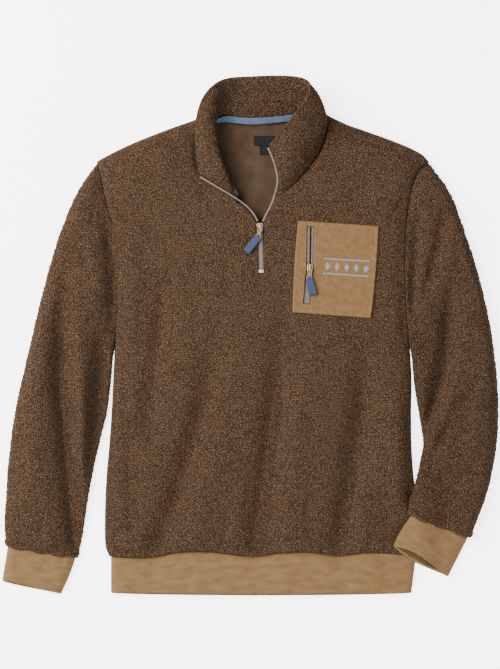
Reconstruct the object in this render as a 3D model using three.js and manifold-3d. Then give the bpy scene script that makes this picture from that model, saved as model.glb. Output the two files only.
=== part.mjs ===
// A quarter-zip sherpa fleece pullover laid flat, front side up: +X across, +Y towards the collar, +Z up
// from the surface that it lies on. All sizes are millimetres. The garment is cut and sewn from a back
// panel, a front panel, two sleeves, a stand collar, a knitted hem band and two knitted cuffs, with a zip
// in the front, a patch pocket with a zip of its own, a neck tape and a neck label.
import * as THREE from "three";
import { mergeVertices } from "three/addons/utils/BufferGeometryUtils.js";
import Module from "manifold-3d";

const wasm = await Module();
wasm.setup();

// Driving dimensions
const FLEECE = 4; // knitted base with its curled pile
const COLLAR_WALL = 6; // two layers of fleece, sewn and turned
const KNIT = 2.4; // doubled knit of the hem band and cuffs
const SEAM = 0.3; // left between pieces where they are sewn
const BODY_LOFT = 12; // air between the front and back panels
const ARMHOLE_GAP = 7.5; // air between the layers along an armhole seam
const SLEEVE_LOFT = 13;
const HEM_GAP = 6.5;
const CUFF_GAP = 7.5;
const LEAST_GAP = 1.5; // air that is left in a sleeve's deepest fold
const FLAT_TURN = 1.4; // most that a wall on a steep fold is thicker upright than across
const SHOULDER_LEAN = 0.93; // distance from the shoulder seam for each millimetre straight below it
const ARMHOLE = { foot: -4, length: 262 };
// Run of the rounded edge of the front panel at its sides, its shoulders and its hem
const PANEL_RUN = { side: 36, shoulder: 42, hem: 26 };
// Places where the front panel is pressed down: below the collar's left side and below the right cuff
const UNDER_COLLAR = { at: [-62, 265], half: [55, 60], power: 2, by: 0.3 };
const UNDER_CUFF = { at: [250, -292], half: [74, 76], power: 4, by: 0.97 };
// The right sleeve's end lies on the body's corner: where it starts to rise, and the ramp beside the body
const CROSSING = { top: -182, rise: 26, ramp: 46, corner: -312, clear: 1.4 };
// Shares of a sleeve's length: where the armhole's bow, the rise from the armhole and the folds fade in
// and where it narrows to the cuff
const SLEEVE = { bow: 0.34, rise: 0.16, folds: 0.12, narrows: 0.86, foldsEnd: 0.05, run: 30 };
const CUFF_RUN = 16;
const BAND_RUN = 20;

// Left and right edges of the body panels at each height
const BODY_OUTLINE = [
  { y: -327, left: -211, right: 247 },
  { y: -312, left: -216.5, right: 250.5 },
  { y: -275, left: -217.5, right: 250 },
  { y: -235, left: -216.5, right: 248 },
  { y: -200, left: -214.5, right: 244.5 },
  { y: -160, left: -210.8, right: 242 },
  { y: -110, left: -207.3, right: 241.5 },
  { y: -60, left: -204.8, right: 242 },
  { y: -4, left: -202, right: 238.5 },
  { y: 40, left: -199.5, right: 235 },
  { y: 90, left: -197.4, right: 232.6 },
  { y: 126, left: -198, right: 232.8 },
  { y: 165, left: -205.5, right: 234.5 },
  { y: 200, left: -215, right: 238.5 },
  { y: 231, left: -222.5, right: 245.5 },
  { y: 250, left: -226.5, right: 254 },
  { y: 263, left: -229.5, right: 268 },
];
// Shoulder seams, with a plain line across the neck that the neck cut removes
const SHOULDER_LINE = [
  { x: -229.5, y: 263 },
  { x: -222, y: 268 },
  { x: -181, y: 288.5 },
  { x: -125, y: 311 },
  { x: -91, y: 323 },
  { x: -58, y: 334 },
  { x: 25, y: 338 },
  { x: 108, y: 337 },
  { x: 122, y: 330 },
  { x: 148, y: 318 },
  { x: 167, y: 311.5 },
  { x: 228, y: 289 },
  { x: 258, y: 274 },
  { x: 268, y: 263 },
];
// Seam between the fleece body and the knitted hem band
const HEM_LINE = [
  { x: -220, y: -327 },
  { x: -160, y: -329.5 },
  { x: -110, y: -322 },
  { x: -60, y: -321 },
  { x: -8, y: -327 },
  { x: 45, y: -323 },
  { x: 85, y: -321.5 },
  { x: 125, y: -326 },
  { x: 175, y: -323 },
  { x: 252, y: -328 },
];
const HEM_BAND = [
  { end: "top", left: -208.5, right: 249 },
  { end: "bottom", left: -208.5, right: 242 },
];
const BAND_BOTTOM = -382;
const BAND_SAG = 4; // of the band's mouth in its middle
const BAND_FOLDS = 0.35; // share of the body's folds that runs on into the band
const CUFF_ON_BAND = { at: 240, half: 55, by: 0.55 };
const BAND_SETBACK = 3.2; // how far the back of the band shows past the front of it

// Folds of the front panel: where each runs at its top, middle and foot, its half width and its depth
const BODY_FOLDS = [
  { top: [-122, 140], middle: [-135, -10], foot: [-156, -165], half: 13, depth: -5 },
  { top: [-44, 60], middle: [-76, -130], foot: [-150, -330], half: 13, depth: -9.5 },
  { top: [46, 60], middle: [32, -110], foot: [8, -330], half: 15, depth: -11 },
  { top: [176, 30], middle: [166, -120], foot: [120, -330], half: 15, depth: -10 },
  { top: [-178, -110], middle: [-178, -200], foot: [-176, -290], half: 11, depth: -3.5 },
  { top: [-40, -60], middle: [-58, -200], foot: [-92, -330], half: 24, depth: 4 },
  { top: [75, -20], middle: [66, -180], foot: [58, -330], half: 26, depth: 3.5 },
  { top: [202, 20], middle: [205, -120], foot: [188, -330], half: 22, depth: 3.5 },
  { top: [-172, 190], middle: [-178, 90], foot: [-182, -30], half: 14, depth: 3 },
];
const LEFT_SLEEVE_FOLDS = [
  { top: [-253, 215], middle: [-260, 30], foot: [-250, -230], half: 13, depth: 4.5 },
  { top: [-272, 150], middle: [-286, -60], foot: [-255, -325], half: 14, depth: -9.5 },
  { top: [-218, 60], middle: [-220, -70], foot: [-232, -210], half: 18, depth: -6 },
  { top: [-222, 240], middle: [-203, 120], foot: [-204, -20], half: 18, depth: -5 },
  { top: [-320, -120], middle: [-332, -210], foot: [-338, -310], half: 15, depth: 3.5 },
];
const RIGHT_SLEEVE_FOLDS = [
  { top: [286, 215], middle: [268, 140], foot: [262, 60], half: 11, depth: -5.5 },
  { top: [250, 235], middle: [243, 120], foot: [246, -10], half: 12, depth: -4 },
  { top: [306, 125], middle: [294, -20], foot: [262, -150], half: 13, depth: -9.5 },
  { top: [322, -60], middle: [290, -110], foot: [262, -170], half: 12, depth: 6 },
  { top: [300, -130], middle: [272, -180], foot: [254, -235], half: 12, depth: -5 },
  { top: [338, 60], middle: [346, -60], foot: [330, -210], half: 17, depth: 4 },
];

// Sleeve sections from the armhole to the cuff: each lies between the sleeve's outer and inner edge
const LEFT_SLEEVE = [
  { outer: [-229.5, 263], inner: [-202.5, -6] },
  { outer: [-258, 221], inner: [-206, -30] },
  { outer: [-285, 157], inner: [-207.6, -56] },
  { outer: [-306, 86], inner: [-210, -82] },
  { outer: [-322, 22], inner: [-213.5, -110] },
  { outer: [-336, -38], inner: [-220, -137] },
  { outer: [-348, -90], inner: [-227, -166] },
  { outer: [-357, -142], inner: [-234, -197] },
  { outer: [-363, -195], inner: [-240.5, -232] },
  { outer: [-366, -245], inner: [-246.5, -268] },
  { outer: [-368, -284], inner: [-251, -301] },
  { outer: [-365, -311], inner: [-258.5, -328] },
];
const RIGHT_SLEEVE = [
  { outer: [268, 263], inner: [239.5, -6] },
  { outer: [299, 220], inner: [243.5, -30] },
  { outer: [327, 145], inner: [245, -56] },
  { outer: [347, 78], inner: [248, -84] },
  { outer: [360, 18], inner: [252, -110] },
  { outer: [368, -38], inner: [256, -134] },
  { outer: [372, -90], inner: [259.3, -160] },
  { outer: [371.5, -140], inner: [254.5, -186] },
  { outer: [365.5, -189], inner: [248.5, -210] },
  { outer: [355, -234], inner: [242.5, -231] },
  { outer: [342, -270], inner: [237.5, -249] },
  { outer: [330, -299], inner: [237.5, -263] },
];
// Cuffs: the corners where they join the sleeve and the corners of their mouths
const LEFT_CUFF = {
  top: { outer: [-363, -312], inner: [-261, -328.6] },
  mouth: { outer: [-371.5, -364], inner: [-283, -383.5] },
  setback: 3.5,
};
const RIGHT_CUFF = {
  top: { outer: [326.5, -300.2], inner: [241.5, -265.3] },
  mouth: { outer: [297, -358], inner: [214, -311] },
  setback: 9,
};

// Stand collar, from its left front end round the back to its right front end. The left side rolls
// outwards, the back leans on the surface behind the neck and the right side falls inwards.
const COLLAR = [
  { seam: [-18, 209, 18.5], roll: [-29.5, 216.5, 26], fall: [-50, 228.8, 27.5], edge: [-73, 242.4, 24.5] },
  { seam: [-34.5, 233, 16], roll: [-37.5, 246.5, 29], fall: [-59, 259.5, 32], edge: [-77.5, 268.5, 25] },
  { seam: [-49, 261.5, 13.5], roll: [-47, 276.5, 31], fall: [-64, 291, 36], edge: [-79.5, 299, 27] },
  { seam: [-59, 287, 11.5], roll: [-51.5, 300.5, 31], fall: [-64.5, 315, 39], edge: [-78, 326, 31] },
  { seam: [-64, 309, 9.5], roll: [-52.5, 321, 29.5], fall: [-61, 338.5, 38.5], edge: [-70, 353, 34] },
  { seam: [-59, 323.5, 7.5], roll: [-49.5, 338, 24], fall: [-52, 357, 34.5], edge: [-57, 370.5, 35] },
  { seam: [-41, 325, 4.8], roll: [-38, 345, 14], fall: [-37, 365, 22], edge: [-38.5, 382.5, 28] },
  { seam: [0, 320.5, 3.4], roll: [1.5, 343, 9], fall: [3, 366, 15.5], edge: [4.5, 387.5, 21] },
  { seam: [50, 324, 3.6], roll: [53, 346, 10.5], fall: [56, 367.5, 18.5], edge: [58.5, 387.5, 26] },
  { seam: [81, 329.5, 5.2], roll: [84, 348, 17], fall: [84.5, 366, 28], edge: [80.5, 382.5, 35] },
  { seam: [103, 331.5, 8], roll: [103, 347, 25], fall: [98, 362, 39], edge: [88, 373, 46] },
  { seam: [112, 320, 10.5], roll: [110, 333, 30], fall: [101, 346.5, 43], edge: [87, 358, 49.5] },
  { seam: [108.5, 292, 12.5], roll: [101, 306, 31], fall: [88, 320, 43], edge: [71, 335, 48.5] },
  { seam: [95, 266, 14], roll: [85, 281.5, 30], fall: [71, 297, 39.5], edge: [55.5, 315, 43.5] },
  { seam: [67, 233, 15.8], roll: [60.5, 250.5, 27], fall: [51, 270, 32.5], edge: [37.5, 293, 34] },
  { seam: [42, 213, 17.5], roll: [44, 235, 23], fall: [39.5, 260, 26], edge: [29.5, 284, 27] },
];
const COLLAR_NAMES = ["seam", "roll", "fall", "edge"];
const FIRST_BACK_ROW = 5; // rows of the collar between these two are sewn to the back panel
const LAST_BACK_ROW = 10;
const NECK_CORNER = 0.365; // share of the way round where the left shoulder turns into the back

// Front zip: the open edges from the slider up to the collar, then the closed chain down to its stop
const ZIP = {
  left: [[11.6, 173.3], [6.2, 183.5], [-5.8, 196.8], [-20, 205.6]],
  right: [[19.4, 173.3], [23.4, 182.5], [31.8, 198.5], [39.6, 212.5]],
  slider: [15.3, 165],
  foot: [16.9, 96.5],
  chainWidth: 7,
  edgeWidth: 3.2,
  thick: 2,
  sunk: 2.6, // foot of the closed chain below the pile's top
  stopLength: 5.2,
};
const SLIDER_WINDOW = { half: 5.2, above: 7, below: 8, slotFrom: 9 }; // cut for the slider in the panel
const POCKET = {
  corners: {
    topLeft: [71.7, 174.7],
    topRight: [192.3, 166.5],
    bottomLeft: [63.3, 37.2],
    bottomRight: [180.8, 28.6],
  },
  cloth: 1.6,
  bow: 1.5,
};
const POCKET_ZIP = {
  top: [90.8, 165.4],
  slider: [89.7, 103.4],
  foot: [84.8, 50],
  slotWidth: 10.4,
  mouthGap: 2.8,
  chainWidth: 9,
  thick: 1.3,
};
const LABEL = { left: 6, right: 37, top: 302, bottom: 287.5, cloth: 0.8 };
const SIZE_TAB = { left: 14.5, right: 27, bottom: 273.5, cloth: 0.6 };

const clamp = (value) => Math.min(1, Math.max(0, value));
const mix = (a, b, t) => a + (b - a) * t;
const mixPoint = (p, q, t) => p.map((value, i) => mix(value, q[i], t));
const smooth = (value) => clamp(value) ** 2 * (3 - 2 * clamp(value));
// Rise of a rounded edge: 0 at the edge, 1 from the given run inwards, upright where it starts
const rounded = (distance, run) => Math.sqrt(1 - (1 - clamp(distance / run)) ** 2);
const repeat = (count, make) => Array.from({ length: count }, (_, i) => make(i));
const distance = (p, q) => Math.hypot(p[0] - q[0], p[1] - q[1]);
const degrees = (angle) => (angle * Math.PI) / 180;

// Smooth value of one column of a table at a place along another column (cubic through the rows)
function column(rows, along, name, at) {
  let i = 0;
  while (i < rows.length - 2 && rows[i + 1][along] < at) i++;
  const slope = (k) => {
    const low = rows[Math.max(0, k - 1)];
    const high = rows[Math.min(rows.length - 1, k + 1)];
    return (high[name] - low[name]) / (high[along] - low[along]);
  };
  const span = rows[i + 1][along] - rows[i][along];
  const t = clamp((at - rows[i][along]) / span);
  return (
    (2 * t ** 3 - 3 * t ** 2 + 1) * rows[i][name] +
    (t ** 3 - 2 * t ** 2 + t) * span * slope(i) +
    (3 * t ** 2 - 2 * t ** 3) * rows[i + 1][name] +
    (t ** 3 - t ** 2) * span * slope(i + 1)
  );
}
const leftEdge = (y) => column(BODY_OUTLINE, "y", "left", y);
const rightEdge = (y) => column(BODY_OUTLINE, "y", "right", y);
const shoulderY = (x) => column(SHOULDER_LINE, "x", "y", x);
const hemY = (x) => column(HEM_LINE, "x", "y", x);

// A smooth line through points, as a function of 0 to 1
function lineThrough(points) {
  const vectors = points.map((p) => new THREE.Vector3(p[0], p[1], p[2] ?? 0));
  const curve = new THREE.CatmullRomCurve3(vectors, false, "centripetal");
  return (t) => curve.getPoint(t);
}

// Height that a set of folds adds at a point: each is a soft trough or ridge that fades out at its ends
function foldHeight(folds, x, y) {
  let height = 0;
  for (const { top, middle, foot, half, depth } of folds) {
    if (y > top[1] || y < foot[1]) continue;
    const upper = y > middle[1];
    const t = upper ? (top[1] - y) / (top[1] - middle[1]) : (middle[1] - y) / (middle[1] - foot[1]);
    const bend = (top[0] - 2 * middle[0] + foot[0]) / 4;
    const centre = upper ? mix(top[0], middle[0], t) : mix(middle[0], foot[0], t);
    const centreCurved = centre - bend * t * (1 - t);
    const runIn = smooth((top[1] - y) / (0.45 * (top[1] - foot[1])));
    const runOut = smooth((y - foot[1]) / 30 + 0.55);
    height += depth * runIn * runOut * Math.exp(-(((x - centreCurved) / half) ** 2));
  }
  return height;
}

// Share of the armhole's air at a place from its foot to its top: nothing at both ends
const armholeShare = (place) => Math.sin(Math.PI * clamp(place)) ** 0.6;
// Share of the air that is left where something presses on the cloth
function pressed({ at, half, power, by }, x, y) {
  return 1 - by * Math.exp(-(((x - at[0]) / half[0]) ** power) - ((y - at[1]) / half[1]) ** power);
}
// Air between the front and back panels at a point
function frontGap(x, y) {
  const side = Math.min(x - leftEdge(y), rightEdge(y) - x);
  const shoulder = (shoulderY(x) - y) * SHOULDER_LEAN;
  const armhole = ARMHOLE_GAP * armholeShare((y - ARMHOLE.foot) / ARMHOLE.length);
  const inward = rounded(side, PANEL_RUN.side);
  const body = mix(armhole, BODY_LOFT, inward);
  const underCuff = pressed(UNDER_CUFF, x, y);
  const folds = foldHeight(BODY_FOLDS, x, y) * inward * underCuff;
  const lofted = body * pressed(UNDER_COLLAR, x, y) * underCuff + folds;
  const hem = mix(HEM_GAP * inward * underCuff, lofted, rounded(y - hemY(x), PANEL_RUN.hem));
  return Math.max(0, hem) * rounded(shoulder, PANEL_RUN.shoulder);
}
// Top of the front panel above the surface that the garment lies on
const frontTop = (x, y) => 2 * FLEECE + SEAM + frontGap(x, y);

// What a sleeve that crosses the body has under it: the panel's edge, then a ramp down to the surface
function liftOverBody(x, y) {
  const past = x - rightEdge(Math.max(y, CROSSING.corner));
  const onBody = 2 * FLEECE + SEAM + CROSSING.clear;
  return onBody * smooth(1 - past / CROSSING.ramp) * smooth((CROSSING.top - y) / CROSSING.rise);
}

// Geometry from a list of faces, each a list of points, turned to face outwards
function geometryOf(quads) {
  const positions = [];
  for (const [a, b, c, d] of quads) {
    positions.push(...a, ...b, ...c);
    if (d) positions.push(...a, ...c, ...d);
  }
  let volume = 0;
  for (let i = 0; i < positions.length; i += 9) {
    const [ax, ay, az, bx, by, bz, cx, cy, cz] = positions.slice(i, i + 9);
    volume += ax * (by * cz - bz * cy) + ay * (bz * cx - bx * cz) + az * (bx * cy - by * cx);
  }
  if (volume < 0) {
    for (let i = 0; i < positions.length; i += 9) {
      const swapped = positions.slice(i + 3, i + 6);
      positions.splice(i + 3, 3, ...positions.slice(i + 6, i + 9));
      positions.splice(i + 6, 3, ...swapped);
    }
  }
  const attribute = new THREE.Float32BufferAttribute(positions, 3);
  return new THREE.BufferGeometry().setAttribute("position", attribute);
}

// A closed wall between two grids of points: upper[i][j] over lower[i][j]
function wallBetween(upper, lower) {
  const rows = upper.length - 1;
  const columns = upper[0].length - 1;
  const quads = [];
  for (let i = 0; i < rows; i++) {
    for (let j = 0; j < columns; j++) {
      quads.push([upper[i][j], upper[i + 1][j], upper[i + 1][j + 1], upper[i][j + 1]]);
      quads.push([lower[i][j], lower[i][j + 1], lower[i + 1][j + 1], lower[i + 1][j]]);
    }
  }
  for (let i = 0; i < rows; i++) {
    quads.push([upper[i][0], lower[i][0], lower[i + 1][0], upper[i + 1][0]]);
    quads.push([upper[i][columns], upper[i + 1][columns], lower[i + 1][columns], lower[i][columns]]);
  }
  for (let j = 0; j < columns; j++) {
    quads.push([upper[0][j], upper[0][j + 1], lower[0][j + 1], lower[0][j]]);
    quads.push([upper[rows][j], lower[rows][j], lower[rows][j + 1], upper[rows][j + 1]]);
  }
  return geometryOf(quads);
}

// A closed tube wall from rings: outer[i] and inner[i] are closed rings of equally many points
function wallOfRings(outer, inner) {
  const quads = [];
  const count = outer[0].length;
  for (let k = 0; k < count; k++) {
    const next = (k + 1) % count;
    for (let i = 0; i < outer.length - 1; i++) {
      quads.push([outer[i][k], outer[i][next], outer[i + 1][next], outer[i + 1][k]]);
      quads.push([inner[i][k], inner[i + 1][k], inner[i + 1][next], inner[i][next]]);
    }
    const last = outer.length - 1;
    quads.push([outer[0][k], inner[0][k], inner[0][next], outer[0][next]]);
    quads.push([outer[last][k], outer[last][next], inner[last][next], inner[last][k]]);
  }
  return geometryOf(quads);
}

// A closed solid from rings with no hollow, its two ends closed by a fan
function solidOfRings(rings) {
  const quads = [];
  const count = rings[0].length;
  for (let k = 0; k < count; k++) {
    const next = (k + 1) % count;
    for (let i = 0; i < rings.length - 1; i++) {
      quads.push([rings[i][k], rings[i][next], rings[i + 1][next], rings[i + 1][k]]);
    }
  }
  for (const [ring, isFirst] of [[rings[0], true], [rings.at(-1), false]]) {
    for (let k = 0; k < count / 2 - 1; k++) {
      const face = [ring[k], ring[k + 1], ring[count - 2 - k], ring[count - 1 - k]];
      quads.push(isFirst ? face.reverse() : face);
    }
  }
  return geometryOf(quads);
}

// Solids are joined and cut as manifolds
function asManifold(geometry) {
  const bare = new THREE.BufferGeometry();
  bare.setAttribute("position", geometry.getAttribute("position"));
  bare.setIndex(geometry.getIndex());
  const merged = mergeVertices(bare, 1e-4);
  return new wasm.Manifold(
    new wasm.Mesh({
      numProp: 3,
      vertProperties: merged.attributes.position.array,
      triVerts: new Uint32Array(merged.index.array),
    }),
  );
}

function asGeometry(manifold) {
  const { vertProperties, triVerts } = manifold.getMesh();
  const geometry = new THREE.BufferGeometry();
  geometry.setAttribute("position", new THREE.Float32BufferAttribute(vertProperties, 3));
  geometry.setIndex(Array.from(triVerts));
  return geometry;
}

// An upright prism over a flat outline, from one height to another
const planPoints = (outline) => outline.map(([x, y]) => new THREE.Vector2(x, y));
function prism(outline, low, high) {
  const settings = { depth: high - low, bevelEnabled: false };
  return new THREE.ExtrudeGeometry(new THREE.Shape(planPoints(outline)), settings).translate(0, 0, low);
}
function cut(geometry, ...cutters) {
  const subtract = (left, cutter) => left.subtract(asManifold(cutter));
  return asGeometry(cutters.reduce(subtract, asManifold(geometry)));
}
function join(geometry, ...others) {
  const add = (all, other) => all.add(asManifold(other));
  return asGeometry(others.reduce(add, asManifold(geometry)));
}

// Line moved sideways in plan by a distance, to the left of the way that it runs
function offsetLine(points, distance) {
  return points.map((point, i) => {
    const before = points[Math.max(0, i - 1)];
    const after = points[Math.min(points.length - 1, i + 1)];
    const [dx, dy] = [after[0] - before[0], after[1] - before[1]];
    const length = Math.hypot(dx, dy);
    return [point[0] - (dy / length) * distance, point[1] + (dx / length) * distance];
  });
}

// The collar's middle surface at s from the left front end to the right one, h from seam to top edge
const collarLines = COLLAR_NAMES.map((name) => COLLAR.map((row) => row[name]));
const collarCurves = collarLines.map(lineThrough);
function collarPoint(s, h) {
  return lineThrough(collarCurves.map((curve) => curve(s).toArray()))(h);
}
function collarNormal(s, h) {
  const step = 0.01;
  const along = collarPoint(clamp(s + step), h).sub(collarPoint(clamp(s - step), h));
  const up = collarPoint(s, clamp(h + step)).sub(collarPoint(s, clamp(h - step)));
  return along.cross(up).normalize(); // towards the face that touches the neck
}
const COLLAR_STEPS = 44;
const COLLAR_RISE = 7;
const RIM_TURNS = [-0.94, 0, 0.94]; // directions of the rounded top edge's points, from straight up
const RIM_RISE = 0.9; // of the top edge's rounding for each millimetre of its half width
function collarGeometry() {
  const half = COLLAR_WALL / 2;
  const rings = repeat(COLLAR_STEPS + 1, (i) => {
    const s = i / COLLAR_STEPS;
    const face = (side) =>
      repeat(COLLAR_RISE + 1, (j) => {
        const h = j / COLLAR_RISE;
        return collarPoint(s, h).addScaledVector(collarNormal(s, h), side * half);
      });
    const top = collarPoint(s, 1);
    const outwards = top.clone().sub(collarPoint(s, 0.97)).normalize();
    const rim = RIM_TURNS.map((turn) =>
      top
        .clone()
        .addScaledVector(collarNormal(s, 1), Math.sin(turn) * half)
        .addScaledVector(outwards, Math.cos(turn) * half * RIM_RISE),
    );
    const ring = [...face(-1), ...rim, ...face(1).reverse()].map((p) => [p.x, p.y, Math.max(p.z, 0)]);
    return [...ring, mixPoint(ring.at(-1), ring[0], 0.5)];
  });
  return solidOfRings(rings);
}

// Neck cut of a panel: the collar's seam moved out, so that the panel ends beside the collar's wall
const SEAM_POINTS = 60;
const BESIDE = { left: COLLAR_WALL / 2 + 2.2, right: COLLAR_WALL / 2 + 2, back: -1.2 };
const ABOVE = 400; // a height in plan above the whole garment
const collarSeam = repeat(SEAM_POINTS + 1, (i) => collarCurves[0](i / SEAM_POINTS).toArray());
const rowAt = (row) => Math.round((row / (COLLAR.length - 1)) * SEAM_POINTS);
function frontNeckOutline() {
  const edge = ZIP.edgeWidth / 2 + 2 * SEAM;
  const leftNeck = offsetLine(collarSeam.slice(0, rowAt(FIRST_BACK_ROW) + 2), BESIDE.left);
  const rightNeck = offsetLine(collarSeam.slice(rowAt(LAST_BACK_ROW) - 1), BESIDE.right);
  const leftZip = offsetLine(ZIP.left, edge);
  const rightZip = offsetLine(ZIP.right, -edge);
  const slot = ZIP.chainWidth / 2 + SEAM;
  const [sx, sy] = ZIP.slider;
  const [fx, fy] = ZIP.foot;
  const { half, above, below, slotFrom } = SLIDER_WINDOW;
  return [
    [fx - slot, fy],
    [sx - slot + 0.2, sy - slotFrom],
    [sx - half, sy - below],
    [sx - half, sy + above],
    ...leftZip.slice(1),
    ...leftNeck.slice(1),
    [leftNeck.at(-1)[0] - 8, ABOVE],
    [rightNeck[0][0] + 8, ABOVE],
    ...rightNeck.slice(0, -1),
    ...rightZip.slice(1).reverse(),
    [sx + half, sy + above],
    [sx + half, sy - below],
    [sx + slot + 0.2, sy - slotFrom],
    [fx + slot, fy],
  ].reverse();
}

function backNeckOutline() {
  const seam = collarSeam.slice(rowAt(FIRST_BACK_ROW) - 2, rowAt(LAST_BACK_ROW) + 3);
  const neck = offsetLine(seam, BESIDE.back);
  return [...neck, [neck.at(-1)[0], ABOVE], [neck[0][0], ABOVE]];
}

// Outline of a body panel at u across and v from hem to shoulder: a patch between its four edges
function bodyPlan(u, v) {
  const [low, high] = [BODY_OUTLINE[0], BODY_OUTLINE.at(-1)];
  const bottomX = mix(low.left, low.right, u);
  const topX = mix(high.left, high.right, u);
  const sideY = mix(low.y, high.y, v);
  return [mix(leftEdge(sideY), rightEdge(sideY), u), mix(hemY(bottomX), shoulderY(topX), v)];
}
// Places from 0 to 1 that lie closer together at both ends
const EDGE_SHARE = 0.55;
const eased = (t) => 0.5 - 0.5 * Math.cos(Math.PI * t);
const spread = (t) => mix(t, eased(t), EDGE_SHARE);

const [PANEL_ACROSS, PANEL_ALONG] = [34, 28];
const acrossAt = (j) => spread(j / PANEL_ACROSS);
const alongAt = (i) => spread(i / PANEL_ALONG);
function frontPanelGeometry() {
  const grid = repeat(PANEL_ALONG + 1, (i) =>
    repeat(PANEL_ACROSS + 1, (j) => bodyPlan(acrossAt(j), alongAt(i))),
  );
  const upper = grid.map((row) => row.map(([x, y]) => [x, y, frontTop(x, y)]));
  const lower = grid.map((row) =>
    row.map(([x, y]) => {
      const slopeX = (frontTop(x + 1, y) - frontTop(x - 1, y)) / 2;
      const slopeY = (frontTop(x, y + 1) - frontTop(x, y - 1)) / 2;
      const steep = Math.min(FLAT_TURN, Math.hypot(1, slopeX, slopeY));
      return [x, y, Math.max(FLEECE + SEAM, frontTop(x, y) - FLEECE * steep)];
    }),
  );
  return cut(wallBetween(upper, lower), prism(frontNeckOutline(), -5, 80));
}

function backPanelGeometry() {
  const across = repeat(PANEL_ACROSS + 1, acrossAt);
  const along = repeat(PANEL_ALONG + 1, alongAt);
  const outline = [
    ...across.map((u) => bodyPlan(u, 0)),
    ...along.slice(1).map((v) => bodyPlan(1, v)),
    ...across.slice(0, -1).reverse().map((u) => bodyPlan(u, 1)),
    ...along.slice(1, -1).reverse().map((v) => bodyPlan(0, v)),
  ];
  return cut(prism(outline, 0, FLEECE), prism(backNeckOutline(), -5, 20));
}

// A flattened tube of cloth. plan(t, a) is a point of its outline in plan, t along it and a from one
// edge to the other; height(t, a, x, y) is its upper layer's top above what it lies on.
const FOLDED_EDGE = 0.4; // half of the gap inside the tube's folded edge
const UNDER_RUN = 1 / 3; // the lower layer's rounded edge, as a share of the upper one's
function flatTube({ stations, columns, wall, run, plan, height, lift = () => 0, shift = () => [0, 0] }) {
  const middle = wall + FOLDED_EDGE;
  const ring = (t, inset) => {
    const [start, end] = [plan(t, 0), plan(t, 1)];
    const width = Math.hypot(end[0] - start[0], end[1] - start[1]);
    const layer = (a, isTop) => {
      const share = mix(inset / width, 1 - inset / width, a);
      const [x, y] = plan(t, share);
      const edge = Math.min(a, 1 - a) * (width - 2 * inset);
      const reach = isTop ? height(t, share, x, y) - inset : inset;
      const z = mix(middle, reach, rounded(edge, isTop ? run : run * UNDER_RUN));
      const [dx, dy] = shift(t, share, isTop);
      return [x + dx, y + dy, z + lift(x, y)];
    };
    const places = repeat(columns + 1, (j) => eased(j / columns));
    return [
      ...places.map((a) => layer(a, true)),
      ...places.slice(1, -1).reverse().map((a) => layer(a, false)),
    ];
  };
  const steps = repeat(stations + 1, (i) => i / stations);
  return wallOfRings(steps.map((t) => ring(t, 0)), steps.map((t) => ring(t, wall)));
}

function sleeveGeometry(rows, folds, seamX, lift) {
  const outer = lineThrough(rows.map((row) => row.outer));
  const inner = lineThrough(rows.map((row) => row.inner));
  const [first] = rows;
  // the armhole seam bows away from the straight line between shoulder and underarm
  const bow = (a) => {
    const y = mix(first.outer[1], first.inner[1], a);
    return seamX(y) - mix(first.outer[0], first.inner[0], a);
  };
  const plan = (t, a) => {
    const [o, i] = [outer(t), inner(t)];
    const fade = Math.max(0, 1 - t / SLEEVE.bow) ** 2;
    return [mix(o.x, i.x, a) + bow(a) * fade, mix(o.y, i.y, a)];
  };
  const height = (t, a, x, y) => {
    const gap = mix(ARMHOLE_GAP * armholeShare(1 - a), SLEEVE_LOFT, rounded(t, SLEEVE.rise));
    const tapered = mix(gap, CUFF_GAP + 1, smooth((t - SLEEVE.narrows) / (1 - SLEEVE.narrows)));
    const fade = rounded(t, SLEEVE.folds) * smooth((1 - t) / SLEEVE.foldsEnd + 0.35);
    return 2 * FLEECE + Math.max(LEAST_GAP, tapered + foldHeight(folds, x, y) * fade);
  };
  return flatTube({ stations: 21, columns: 14, wall: FLEECE, run: SLEEVE.run, plan, height, lift });
}

// At a cuff's mouth the front layer is set back along the sleeve, and the back layer reaches past it
const MOUTH_SHARE = { front: 0.7, back: -0.3 };
const CUFF_SAG = { mouth: 0.12, sides: 0.25 }; // shares by which the cuff is lower there
function cuffGeometry({ top, mouth, setback }, lift) {
  const plan = (t, a) =>
    mixPoint(mixPoint(top.outer, top.inner, a), mixPoint(mouth.outer, mouth.inner, a), t);
  const [from, to] = [plan(0, 0.5), plan(1, 0.5)];
  const back = from.map((value, i) => (value - to[i]) / distance(from, to));
  const shift = (t, a, isTop) => {
    const pull = (isTop ? MOUTH_SHARE.front : MOUTH_SHARE.back) * setback * 4 * a * (1 - a) * t * t;
    return [back[0] * pull, back[1] * pull];
  };
  const height = (t, a) => {
    const crown = 1 - CUFF_SAG.sides * (1 - Math.sin(Math.PI * a));
    return 2 * KNIT + CUFF_GAP * (1 - CUFF_SAG.mouth * t) * crown;
  };
  return flatTube({ stations: 5, columns: 12, wall: KNIT, run: CUFF_RUN, plan, height, lift, shift });
}

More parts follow.
